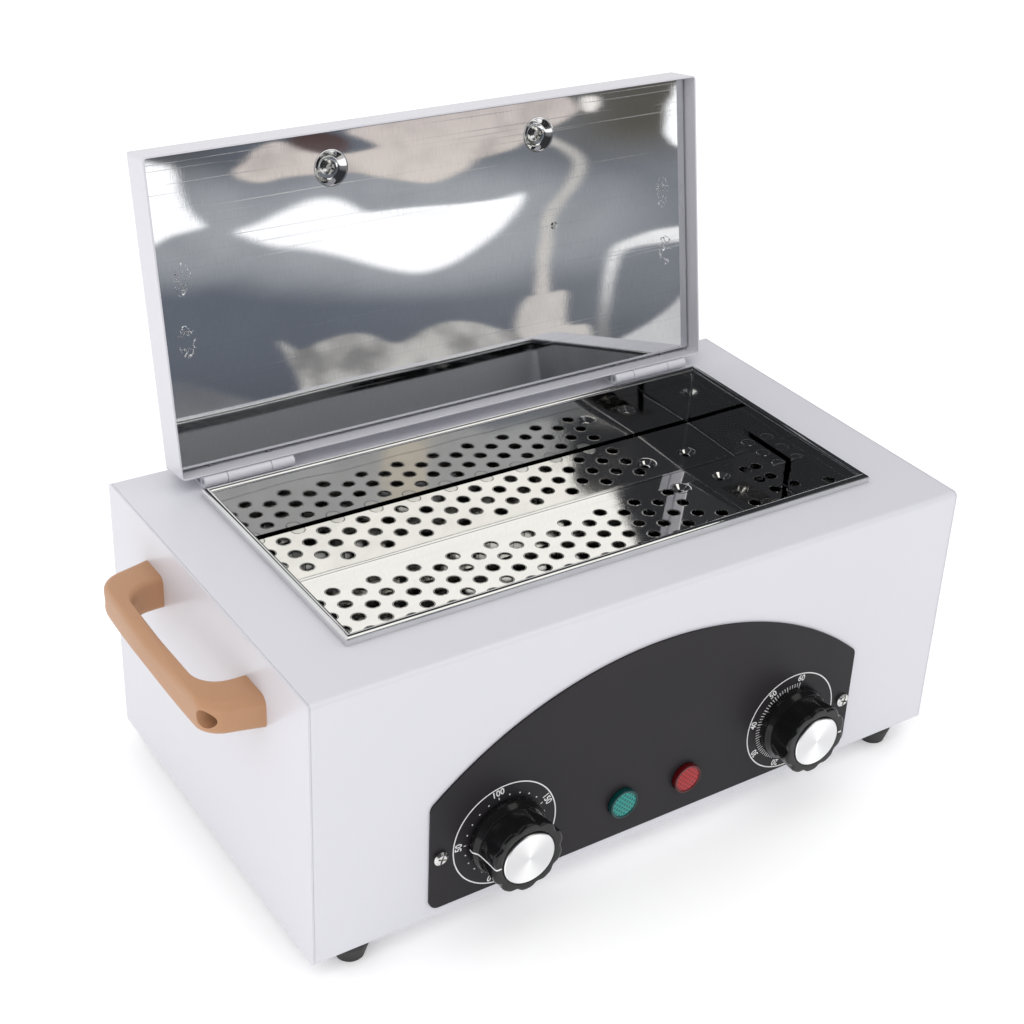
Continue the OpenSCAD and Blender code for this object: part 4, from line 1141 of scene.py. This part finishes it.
@dataclass(frozen=True)
class Patch:
    """One soft-edged shape on the screen that the lid mirrors.

    Its outline is a closed run of points, along the screen and up, in millimetres.
    """

    name: str
    top: Colour
    low: Colour
    outline: tuple[Pair, ...]
    soft: float = 3.0
    cloud: float = 0.15
    solid: float = 1.0

    def curve(self, between: int = 6) -> np.ndarray:
        """Draws the outline as a smooth closed curve through its points.

        Between two points b and c the curve is a cubic whose slope at each of them is half the step
        from the point before it to the point after it.

        Args:
            between: points of the curve for each one of the outline.

        Returns:
            The curve's points.
        """
        p = np.array(self.outline, float)
        before, after, far = np.roll(p, 1, 0), np.roll(p, -1, 0), np.roll(p, -2, 0)
        t = np.linspace(0, 1, between, endpoint=False)[None, :, None]
        a, b, c, d = (q[:, None, :] for q in (before, p, after, far))
        smooth = b + 0.5 * t * (c - a + t * (2 * a - 5 * b + 4 * c - d + t * (3 * (b - c) + d - a)))
        return smooth.reshape(-1, 2)

    def edges(self) -> tuple[np.ndarray, np.ndarray]:
        """Moves the curve in and out by half the soft edge, along its normals.

        Returns:
            The inner and the outer run of points.
        """
        p = self.curve()
        along = np.roll(p, -2, 0) - np.roll(p, 2, 0)
        along /= np.maximum(np.linalg.norm(along, axis=1, keepdims=True), 1e-6)
        x, y = p[:, 0], p[:, 1]
        sign = np.sign(np.sum(x * np.roll(y, -1) - np.roll(x, -1) * y))
        out = sign * np.stack([along[:, 1], -along[:, 0]], -1)
        return p - out * self.soft / 2, p + out * self.soft / 2


@dataclass
class Screen:
    """The upright screen beside the camera that the open lid mirrors: grey cloth, pale shapes.

    A point along the screen s and up z, in millimetres, lies at x = start + run s and
    y = start + run s, both in the row frame, and z.
    """

    front_y: float
    start: Pair = (412.09, -542.65)
    run: Pair = (0.8746, 0.4848)
    gain: float = 1.3
    lift_step: float = 0.8
    patches: tuple[Patch, ...] = (
        Patch("crescent", WHITE, WHITE, (
            (-196, 192), (-175, 197), (-149, 206), (-124, 212), (-103, 210), (-87, 202), (-71, 192),
            (-44, 185), (-13, 183), (12, 183), (41, 188), (63, 192), (76, 193), (73, 183), (59, 168),
            (43, 156), (21, 145), (-2, 137), (-31, 133), (-58, 138), (-85, 147), (-111, 157),
            (-138, 166), (-165, 173), (-184, 183)), soft=9.0, cloud=0.0),
        Patch("left_top", WHITE, WHITE, (
            (-300, 266), (-261, 263), (-252, 259), (-248, 250), (-247, 236), (-243, 224), (-236, 213),
            (-227, 203), (-233, 201), (-247, 200), (-261, 199), (-300, 195)), soft=7.0, cloud=0.0),
        Patch("high_band", (0.56, 0.50, 0.47), (0.62, 0.56, 0.51), (
            (-191, 246), (-182, 238), (-165, 233), (-144, 235), (-120, 235), (-92, 234), (-72, 231),
            (-52, 224), (-25, 216), (-8, 213), (10, 218), (25, 225), (37, 233), (55, 236), (73, 239),
            (88, 246), (110, 252), (128, 258), (139, 265), (135, 275), (120, 281), (96, 283),
            (44, 281), (-9, 279), (-44, 278), (-79, 274), (-60, 262), (-51, 255), (-65, 253),
            (-83, 252), (-103, 253), (-123, 260), (-136, 266), (-149, 269), (-167, 264), (-177, 255)),
            cloud=0.35),
        Patch("dark_blob", (0.07, 0.045, 0.045), (0.10, 0.07, 0.07), (
            (-136, 268), (-124, 259), (-104, 254), (-84, 254), (-78, 262), (-86, 270), (-104, 275),
            (-124, 275)), soft=5.0),
        Patch("band_end", (0.82, 0.78, 0.74), (0.82, 0.78, 0.74), (
            (144, 275), (152, 277), (161, 275), (161, 268), (154, 262), (146, 263), (143, 269))),
        Patch("right_top", WHITE, WHITE, (
            (238, 280), (232, 270), (225, 261), (222, 247), (219, 234), (223, 225), (231, 218),
            (262, 215), (264, 280)), cloud=0.0),
        Patch("ribbon", (0.50, 0.48, 0.45), (0.60, 0.56, 0.52), (
            (105, 247), (122, 237), (138, 223), (141, 209), (133, 193), (120, 180), (109, 167),
            (103, 155), (99, 138), (92, 121), (87, 96), (75, 98), (79, 115), (83, 133), (89, 148),
            (92, 163), (99, 175), (112, 187), (123, 199), (130, 212), (128, 221), (117, 232),
            (103, 240)), solid=0.85),
        Patch("arch", (0.80, 0.80, 0.79), (0.20, 0.20, 0.20), (
            (262, 148), (232, 146), (199, 145), (177, 141), (157, 135), (148, 122), (141, 103),
            (135, 82), (130, 61), (127, 42), (139, 41), (140, 60), (145, 81), (151, 102), (157, 117),
            (165, 129), (183, 133), (205, 133), (262, 134)), cloud=0.1),
        Patch("low_right", (0.50, 0.50, 0.50), (0.52, 0.52, 0.52), (
            (262, 104), (224, 84), (205, 69), (185, 57), (162, 47), (139, 41), (100, 42), (67, 41),
            (67, 0), (262, 0)), cloud=0.1),
        Patch("cloud", (0.42, 0.41, 0.39), (0.56, 0.55, 0.52), (
            (-174, 87), (-156, 76), (-131, 80), (-109, 82), (-92, 79), (-76, 70), (-65, 67),
            (-51, 70), (-32, 78), (-10, 82), (15, 79), (35, 71), (56, 63), (86, 49), (121, 43),
            (121, 6), (67, 6), (9, 6), (-46, 6), (-104, 3), (-162, 2), (-164, 27), (-158, 44),
            (-164, 59), (-169, 74)), cloud=0.7),
        Patch("notch", (0.10, 0.10, 0.10), (0.12, 0.12, 0.12), (
            (-66, 36), (-54, 46), (-40, 48), (-34, 42), (-44, 30), (-60, 26)), soft=4.0),
        Patch("block", (0.54, 0.51, 0.48), (0.52, 0.49, 0.46), (
            (66, 96), (89, 98), (104, 98), (102, 84), (101, 66), (120, 62), (121, 44), (100, 42),
            (66, 50), (53, 64), (54, 79)), soft=2.0),
        Patch("low_left", (0.16, 0.16, 0.17), (0.30, 0.29, 0.27), (
            (-290, 62), (-262, 60), (-228, 46), (-196, 33), (-176, 26), (-176, 6), (-240, 6),
            (-290, 8)), soft=8.0, cloud=0.3, solid=0.5))

    def place(self, points: np.ndarray, lift: float) -> np.ndarray:
        """Places points of the screen.

        Args:
            points: their distances along the screen and up, in millimetres.
            lift: how far they lie before the cloth, in millimetres.

        Returns:
            The points, in the row frame.
        """
        s, z = points[:, 0], points[:, 1]
        x = self.start[0] + self.run[0] * s - self.run[1] * lift
        y = self.start[1] + self.run[1] * s + self.run[0] * lift
        return np.stack([x * MM, y * MM + self.front_y, z * MM], -1)

    def cloth(self) -> None:
        """Adds the grey cloth: bluish at the left, brownish at the top right, paler in two ovals.

        The oval round the crescent is where ((s + 40) / 175)^2 + ((z - 172 + s / 14) / 48)^2 is small.
        """
        g = Graph("screen_cloth")
        x, y, z = g.axes()
        s = (x - self.start[0] * MM) * self.run[0] + (y - self.start[1] * MM - self.front_y) * self.run[1]
        shade = (0.10, 0.11, 0.13)
        tone = g.mix(s.step(-0.16, 0.2), (0.145, 0.162, 0.195), (0.235, 0.25, 0.275))
        tone = g.mix(s.step(0.06, 0.2) * z.step(0.19, 0.25), tone, (0.115, 0.108, 0.09))
        tone = g.mix((1.0 - s.step(-0.27, -0.12)) * z.step(0.215, 0.26), tone, (0.11, 0.115, 0.125))
        tone = g.mix(1.0 - z.step(0.0, 0.11), tone, shade)
        u, w = (s + 0.04) / 0.175, (z - 0.172 + s / 14.0) / 0.048
        tone = g.mix((1.0 - (u * u + w * w).step(0.5, 2.6)) * 0.85, tone, (0.46, 0.48, 0.50))
        u, w = (s + 0.25) / 0.075, (z - 0.2) / 0.05
        tone = g.mix((1.0 - (u * u + w * w).step(0.2, 2.0)) * 0.7, tone, (0.44, 0.46, 0.48))
        tone = g.mix(g.noise(14.0, 3.0).step(0.4, 0.7) * 0.2, tone, shade)
        corners = self.place(np.array([(-480, -150), (480, -150), (480, 470), (-480, 470)], float), 0.0)
        mirror_only(dress(face_mesh("screen_cloth", corners, [[3, 2, 1, 0]]), g.glow(tone)))

    def shape(self, patch: Patch, lift: float) -> None:
        """Adds one shape: a flat middle and a strip round it over which it fades.

        Args:
            patch: the shape.
            lift: how far it lies before the cloth, in millimetres.
        """
        inner, outer = patch.edges()
        n = len(inner)
        i = np.arange(n)
        strip = np.stack([i, (i + 1) % n, (i + 1) % n + n, i + n], -1)
        piece = face_mesh(f"screen_{patch.name}", self.place(np.concatenate([inner, outer]), lift),
                          [i.tolist(), *strip.tolist()])
        cover = piece.data.attributes.new("cover", "FLOAT", "POINT")
        cover.data.foreach_set("value", np.repeat([1.0, 0.0], n))
        g = Graph(f"screen_{patch.name}")
        z = g.axes()[2]
        heights = [height * MM for _, height in patch.outline]
        low, top = (tuple(self.gain * c for c in colour) for colour in (patch.low, patch.top))
        tone = g.mix(z.step(min(heights), max(heights)), low, top)
        if patch.cloud:
            shade = g.noise(26.0, 4.0, offset=(0.1 * lift, 0.0, 0.0)).step(0.42, 0.68) * patch.cloud
            tone = g.mix(shade, tone, (0.10, 0.10, 0.105))
        seen = g.value("ShaderNodeAttribute", output="Fac", attribute_name="cover").step(0.0, 1.0)
        mirror_only(dress(piece, g.glow(tone, seen * patch.solid)))

    def build(self) -> None:
        """Builds the cloth and every shape in front of it."""
        self.cloth()
        for i, patch in enumerate(self.patches):
            self.shape(patch, 1.0 + self.lift_step * i)
        LOG.info("screen with %d shapes", len(self.patches))


def upright(start: Pair, end: Pair) -> list[Triple]:
    """The corners of a studio wall between two points of its plan."""
    foot, top = -0.5, 2.8
    return [(*start, foot), (*end, foot), (*end, top), (*start, top)]


@dataclass
class Studio:
    """A pale floor, soft lights, cards that the polished steel mirrors, and the camera."""

    front_y: float
    base_z: float
    right: Triple = (0.81969, -0.56964, 0.06017)
    down: Triple = (-0.23191, -0.42607, -0.87446)
    ahead: Triple = (0.52377, 0.70283, -0.48135)
    eye: Triple = (-0.44344, -0.53717, 0.57674)
    lens: float = 64.252
    shift: Pair = (-0.0868, -0.0372)
    soft_light: float = 0.9

    def camera(self) -> None:
        """Creates the camera at the photograph's viewing angle."""
        data = bpy.data.cameras.new("camera")
        data.sensor_width, data.lens = 36.0, self.lens
        data.shift_x, data.shift_y = self.shift
        data.clip_start, data.clip_end = 0.01, 50.0
        camera = bpy.data.objects.new("camera", data)
        bpy.context.scene.collection.objects.link(camera)
        axes = Matrix((self.right, [-v for v in self.down], [-v for v in self.ahead])).transposed()
        at = Vector(self.eye) + Vector((0, self.front_y, self.base_z))
        camera.matrix_world = Matrix.Translation(at) @ axes.to_4x4()
        bpy.context.scene.camera = camera

    def world(self) -> None:
        """Makes the world white to the eye and to metal, and a soft light to everything else."""
        g = Graph("studio", world=True)
        rays = g.node("ShaderNodeLightPath").outputs
        clear = Value(g, rays["Is Glossy Ray"]).most(rays["Is Transmission Ray"])
        seen = Value(g, rays["Is Camera Ray"]).most(clear)
        soft, white = (g.node("ShaderNodeBackground", {0: g.opaque(WHITE), 1: strength}).outputs[0]
                       for strength in (self.soft_light, 1.0))
        mix = g.node("ShaderNodeMixShader", {0: seen, 1: soft, 2: white})
        g.node("ShaderNodeOutputWorld", {0: mix.outputs[0]})
        bpy.context.scene.world = g.block

    def area(self, name: str, at: Triple, size: Pair, power: float) -> None:
        """Adds a soft light that metal doesn't mirror, turned to the object.

        Args:
            name: the light's name.
            at: its place.
            size: its two sides.
            power: its power in watts.
        """
        data = bpy.data.lights.new(name, "AREA")
        data.shape, data.size, data.size_y, data.energy = "RECTANGLE", size[0], size[1], power
        light = bpy.data.objects.new(name, data)
        bpy.context.scene.collection.objects.link(light)
        aim = (Vector((0, 0, 0.1)) - Vector(at)).to_track_quat("-Z", "Y").to_matrix().to_4x4()
        light.matrix_world = Matrix.Translation(Vector(at)) @ aim
        light.visible_glossy = False

    def card(self, name: str, corners: Sequence[Triple], low: Colour, high: Colour,
             rise: Pair = (0.0, 1.0)) -> None:
        """Adds a card that only mirrors see.

        Args:
            name: the card's name.
            corners: its corners in order.
            low: its tone at and under the lower height.
            high: its tone at and over the upper height.
            rise: the two heights.
        """
        g = Graph(name)
        tone = g.mix(g.axes()[2].step(*rise), low, high)
        faces = [list(range(len(corners)))]
        mirror_only(dress(face_mesh(name, np.array(corners, float), faces), g.glow(tone)))

    def floor(self) -> None:
        """Adds the pale floor, which keeps the object's shadow."""
        g = Graph("floor_paper")
        tone = g.mix(g.noise(3.0).step(0.3, 0.7), PALE_AND_GLINT, (0.96, 0.96, 0.965))
        paper = g.surface({"Roughness": 0.9, "Specular IOR Level": 0.1, "Emission Strength": 0.2,
                           "Emission Color": g.opaque(WHITE)}, Base_Color=tone)
        corners = np.array([(-3.5, -1.6, 0.0), (3.5, -1.6, 0.0), (3.5, 4.5, 0.0), (-3.5, 4.5, 0.0)])
        dress(face_mesh("floor", corners, [[0, 1, 2, 3]]), paper)

    def surroundings(self) -> None:
        """Adds the walls, the ceiling and the white panel overhead that the steel mirrors."""
        dark, mid, grey = (0.035, 0.036, 0.04), (0.20, 0.205, 0.215), (0.42, 0.425, 0.43)
        pale, beige, white = (0.9, 0.9, 0.9), (0.60, 0.55, 0.47), (1.2, 1.18, 1.12)
        left, right, front, back, top, panel = -3.0, 3.0, -2.4, 2.8, 2.8, 1.5
        self.card("front_wall_left", upright((left, front), (0.55, front)), dark, dark)
        self.card("front_wall", upright((0.55, front), (1.74, front)), dark, grey, (0.9, 1.4))
        self.card("front_wall_right", upright((1.74, front), (right, front)), dark, dark)
        self.card("beige_strip", [(1.22, -2.38, 1.0), (1.34, -2.38, 1.0), (1.40, -2.38, 2.2),
                                  (1.28, -2.38, 2.2)], beige, beige)
        self.card("right_wall", upright((right, front), (right, back)), dark, dark)
        self.card("back_wall", upright((1.5, back), (left, back)), pale, pale)
        self.card("back_wall_right", upright((right, back), (1.5, back)), pale, dark, (0.9, 1.3))
        self.card("left_wall", upright((left, back), (left, front)), mid, dark, (0.4, 2.0))
        self.card("ceiling", [(left, front, top), (right, front, top), (right, back, top), (left, back, top)],
                  dark, dark)
        self.card("white_panel", [(0.3, -1.87, panel), (1.47, -1.87, panel), (0.889, -0.2, panel),
                                  (0.3, -0.2, panel)], white, white)

    def build(self) -> None:
        """Builds the floor, the lights, the cards and the camera."""
        self.floor()
        self.world()
        self.camera()
        self.area("over", (-0.2, -0.3, 1.9), (2.2, 1.8), 6.0)
        self.area("left", (-1.5, -0.9, 1.3), (1.4, 1.4), 3.5)
        self.area("front", (0.9, -1.9, 1.0), (1.6, 1.2), 1.0)
        self.surroundings()
        Screen(self.front_y).build()


# -------------------------------------------------------------------- dressing


@dataclass
class Sterilizer:
    """The whole object: which finish each solid takes, and the pieces added to them."""

    nodes: dict[str, bpy.types.Object]
    finishes: dict[str, bpy.types.Material] = field(default_factory=dict)

    def paint(self, finish: Finish, *names: str) -> None:
        """Builds a finish once and gives it to the named solids.

        Args:
            finish: the finish.
            names: the solids.
        """
        material = finish.build()
        self.finishes[finish.name] = material
        for name in names:
            dress(self.nodes[name], material)
        LOG.info("finish %s on %s", finish.name, ", ".join(names))

    def dress_steel(self) -> None:
        """Dresses the paint, the polished sheets and the small metal pieces."""
        liner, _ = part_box("lid_liner")
        tray_low, tray_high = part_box("perforated_tray")
        fold_y = tray_high.y - FOLD_IN
        lattice = Lattice(start_x=-2.4 * MM, first_y=fold_y + 9.7 * MM, fold_y=fold_y,
                          cross_x=tray_high.x - CROSS_IN, end_x=tray_high.x - 4.5 * MM)
        self.paint(Enamel("white_enamel"), "outer_casing", "left_side_panel", "right_side_panel", "lid_shell",
                   "left_hinge_body_leaf", "left_hinge_lid_leaf", "right_hinge_body_leaf",
                   "right_hinge_lid_leaf")
        marks = ((-0.139, 0.0915), (-0.1406, 0.0628), (0.1365, 0.0913), (0.1378, 0.0588))
        self.paint(Stainless("mirror_lid", Sheet.LID, marks=marks, base_y=liner.y, base_z=liner.z),
                   "lid_liner")
        self.paint(Stainless("mirror_tray", Sheet.TRAY, lattice), "perforated_tray")
        self.paint(Stainless("mirror_chamber", Sheet.CHAMBER, base_y=tray_low.y - 2.0 * MM,
                             base_z=tray_low.z), "chamber_liner")
        for side in ("temperature", "timer"):
            self.paint(SpunCap(f"spun_{side}_cap", *disc(f"{side}_knob_cap")), f"{side}_knob_cap")
        self.paint(Plain("bright_screws", (0.78, 0.78, 0.76), (0.6, 0.6, 0.58), (0.16, 0.3), 1.0,
                         grain=700.0), "panel_screws", "lid_handle_screws", "side_handle_screws", "lid_rivet")
        self.paint(Plain("mirror_dish", (0.88, 0.88, 0.88), (0.80, 0.80, 0.80), (0.03, 0.07), 1.0,
                         grain=500.0, relief=0.000002))
        self.paint(Plain("zinc_steel", (0.62, 0.63, 0.65), (0.5, 0.51, 0.52), (0.3, 0.45), 1.0),
                   "bottom_plate", "bottom_screws", "foot_screws", "control_screws", "hinge_body_screws",
                   "hinge_lid_screws", "left_hinge_pin", "right_hinge_pin", "thermostat_shaft", "timer_shaft")
        self.paint(Plain("plain_stainless", (0.7, 0.7, 0.69), (0.58, 0.57, 0.55), (0.25, 0.4), 1.0),
                   "heater_brackets")
        self.paint(Plain("heater_sheath", (0.10, 0.095, 0.09), (0.16, 0.13, 0.11), (0.4, 0.6), 1.0),
                   "heating_element")
        self.paint(Plain("brass_bushes", (0.68, 0.5, 0.22), (0.55, 0.4, 0.18), (0.25, 0.4), 1.0),
                   "heater_bushes")
        self.paint(Plain("copper_sensor", (0.62, 0.32, 0.2), (0.45, 0.24, 0.16), (0.3, 0.45), 1.0),
                   "sensor_bulb", "sensor_capillary")

    def dress_plastics(self) -> None:
        """Dresses the mouldings, the rubber, the wool and the panel."""
        self.paint(Plain("tan_moulding", (0.50, 0.272, 0.150), (0.475, 0.255, 0.139), (0.36, 0.46),
                         grain=1200.0, relief=0.00001, specular=0.35),
                   "left_handle", "right_handle", "lid_handle")
        self.paint(Plain("satin_black_panel", (0.0255, 0.023, 0.026), (0.0225, 0.021, 0.0235), (0.34, 0.42),
                         grain=2500.0, relief=0.000004, specular=0.14), "control_panel")
        self.paint(Plain("gloss_black", (0.006, 0.006, 0.0065), (0.009, 0.009, 0.0095), (0.12, 0.2),
                         coat=0.15, grain=900.0, relief=0.000003, specular=0.3),
                   "temperature_knob", "timer_knob")
        self.paint(Plain("matte_black", (0.02, 0.02, 0.02), (0.03, 0.03, 0.03), (0.45, 0.6)),
                   "cable_gland", "gland_nut", "green_lamp_body", "red_lamp_body")
        self.paint(Plain("black_rubber", (0.018, 0.018, 0.019), (0.03, 0.03, 0.03), (0.5, 0.7)),
                   "foot_front_left", "foot_front_right", "foot_rear_left", "foot_rear_right")
        self.paint(Plain("mineral_wool", (0.6, 0.53, 0.34), (0.45, 0.38, 0.22), (0.85, 0.95),
                         relief=0.0006), "chamber_insulation", "lid_insulation")
        self.paint(Plain("cream_moulding", (0.7, 0.64, 0.52), (0.64, 0.58, 0.46), (0.4, 0.5)),
                   "thermostat_body", "terminal_block")
        self.paint(Plain("grey_moulding", (0.3, 0.31, 0.33), (0.26, 0.27, 0.29), (0.4, 0.5)), "timer_body")
        self.paint(Plain("white_print", (0.82, 0.82, 0.82), (0.76, 0.76, 0.76), (0.45, 0.6)))
        for colour, net, cell, rim in (
                ("green", (0.016, 0.29, 0.255), (0.004, 0.10, 0.09), (0.003, 0.045, 0.045)),
                ("red", (0.40, 0.018, 0.022), (0.19, 0.005, 0.009), (0.08, 0.003, 0.005))):
            x, z, reach = disc(f"{colour}_lamp_lens")
            self.paint(LensColour(f"{colour}_lens", net, cell, rim, x, z, reach - LampLens.rim),
                       f"{colour}_lamp_lens")

    def add_dials(self) -> None:
        """Adds the print round the two dials.

        The temperature dial has a mark and a number for every 50 degrees, and four short marks
        between two of them. The timer dial has a mark for every minute, a longer one for every
        fifth, and a number for every tenth.
        """
        face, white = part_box("control_panel")[0].y, self.finishes["white_print"]
        x, z, _ = disc("temperature_knob")
        first, turn = -162.0, 75.6
        marks = [(first + turn * k, 20.6 * MM, 21.9 * MM, 0.5 * MM) for k in range(5)]
        marks += [(first + turn * k / 5, 20.9 * MM, 21.6 * MM, 0.7 * MM) for k in range(20) if k % 5]
        numbers = tuple((str(50 * k), first + turn * k) for k in range(5))
        DialPrint("temperature_print", x, z, face, numbers, tuple(marks)).build(white)
        x, z, _ = disc("timer_knob")
        minute = 4.35
        first = 9.8 - 60 * minute
        marks = [(first + minute * m, (19.6 if m % 5 else 18.6) * MM, 21.9 * MM,
                  (0.36 if m % 5 else 0.45) * MM) for m in range(61)]
        numbers = tuple((str(m), first + minute * m) for m in range(0, 61, 10))
        DialPrint("timer_print", x, z, face, numbers, tuple(marks)).build(white)

    def add_handles(self) -> None:
        """Adds the three moulded handles."""
        tan = self.finishes["tan_moulding"]
        side_span, lid_span, lid_top = 109 * MM, 118 * MM, 20.7 * MM
        for node, side in (("left_handle", -1), ("right_handle", 1)):
            low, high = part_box(node)
            start = Vector((low.x if side > 0 else high.x, middle(node).y, middle(node).z))
            axes = Axes(start, Vector((side, 0.0, 0.0)), Vector((0.0, 1.0, 0.0)), Vector((0.0, 0.0, 1.0)))
            BowHandle(node, "casing", axes, side_span).build(tan)
        BowHandle("lid_handle", "lid", lid_axes(LID_SCREWS_Y, lid_top), lid_span, wells=False).build(tan)
        LOG.info("handles")

    def add_dishes(self) -> None:
        """Adds the dishes round the lid's screws and the dimples in the tray."""
        mirror = self.finishes["mirror_dish"]
        liner_z, screw_x = 8.0 * MM, 59 * MM
        lid = lid_axes(LID_SCREWS_Y, liner_z)
        for i, x in enumerate((-screw_x, screw_x)):
            at = Axes(lid.start + Vector((x, 0.0, 0.0)), -lid.out, lid.along, lid.across)
            Dish(f"lid_dish_{i}", "lid", at, 8.5 * MM, 3.0 * MM, 2.3 * MM).build(mirror)
        _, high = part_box("perforated_tray")
        across_x, across_y = 13.5 * MM, 15.5 * MM
        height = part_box("outer_casing")[0].z + FOLD_HEIGHT + across_y * math.tan(TRAY_SLOPE)
        for i, (sx, sy) in enumerate(((-1, -1), (1, -1), (-1, 1), (1, 1))):
            out = Vector((0.0, -sy * math.sin(TRAY_SLOPE), math.cos(TRAY_SLOPE)))
            across = Vector((0.0, math.cos(TRAY_SLOPE), sy * math.sin(TRAY_SLOPE)))
            start = Vector((high.x - CROSS_IN + sx * across_x, high.y - FOLD_IN + sy * across_y, height))
            at = Axes(start, out, Vector((1.0, 0.0, 0.0)), across)
            Dish(f"tray_dimple_{i}", "casing", at, 5.2 * MM, 2.4 * MM, 1.6 * MM).build(mirror)
        LOG.info("dishes")

    def add_tray_end(self) -> None:
        """Adds the turned-down edge that closes the gap between the tray's end and the tub.

        It follows the tray's two slopes: its height rises on both sides of the fold.
        """
        low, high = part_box("perforated_tray")
        fold_y, proud = high.y - FOLD_IN, 0.06 * MM
        y = np.array([low.y, fold_y, high.y])[:, None] + np.zeros((1, 3))
        x = high.x + np.array([-1.2, 1.2, 1.75])[None, :] * MM + np.zeros((3, 1))
        drop = np.array([0.0, 0.0, -0.5])[None, :] * MM
        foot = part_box("outer_casing")[0].z
        z = foot + FOLD_HEIGHT + proud + abs(y - fold_y) * math.tan(TRAY_SLOPE) + drop
        sheet = grid_mesh("tray_end_edge", np.stack([x, y, z], -1))
        piece = show_side(dress(sheet, self.finishes["mirror_dish"]), Vector((0.0, 0.0, 1.0)))
        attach(piece, "casing")

    def add_controls(self) -> None:
        """Adds the knobs and the lamps' lenses."""
        black, white = self.finishes["gloss_black"], self.finishes["white_print"]
        for side, pointer in (("temperature", math.pi), ("timer", 0.0)):
            Knob(f"{side}_knob", f"{side}_knob", pointer).build(black, white)
            LOG.info("knob %s", side)
        LampLens("green_lamp_lens", "teal_lens").build(self.finishes["green_lens"])
        LampLens("red_lamp_lens", "red_lens").build(self.finishes["red_lens"])

    def build(self) -> None:
        """Dresses every solid and adds every piece."""
        self.dress_steel()
        self.dress_plastics()
        self.add_dials()
        self.add_controls()
        self.add_handles()
        self.add_dishes()
        self.add_tray_end()


def main() -> None:
    """Builds the scene."""
    logging.basicConfig(level=logging.INFO, format="%(name)s %(message)s")
    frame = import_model()
    bpy.context.scene.view_settings.view_transform = "Standard"
    Sterilizer(frame["nodes"]).build()
    casing_low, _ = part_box("outer_casing")
    Studio(casing_low.y, casing_low.z).build()


if __name__ == "__main__":
    main()
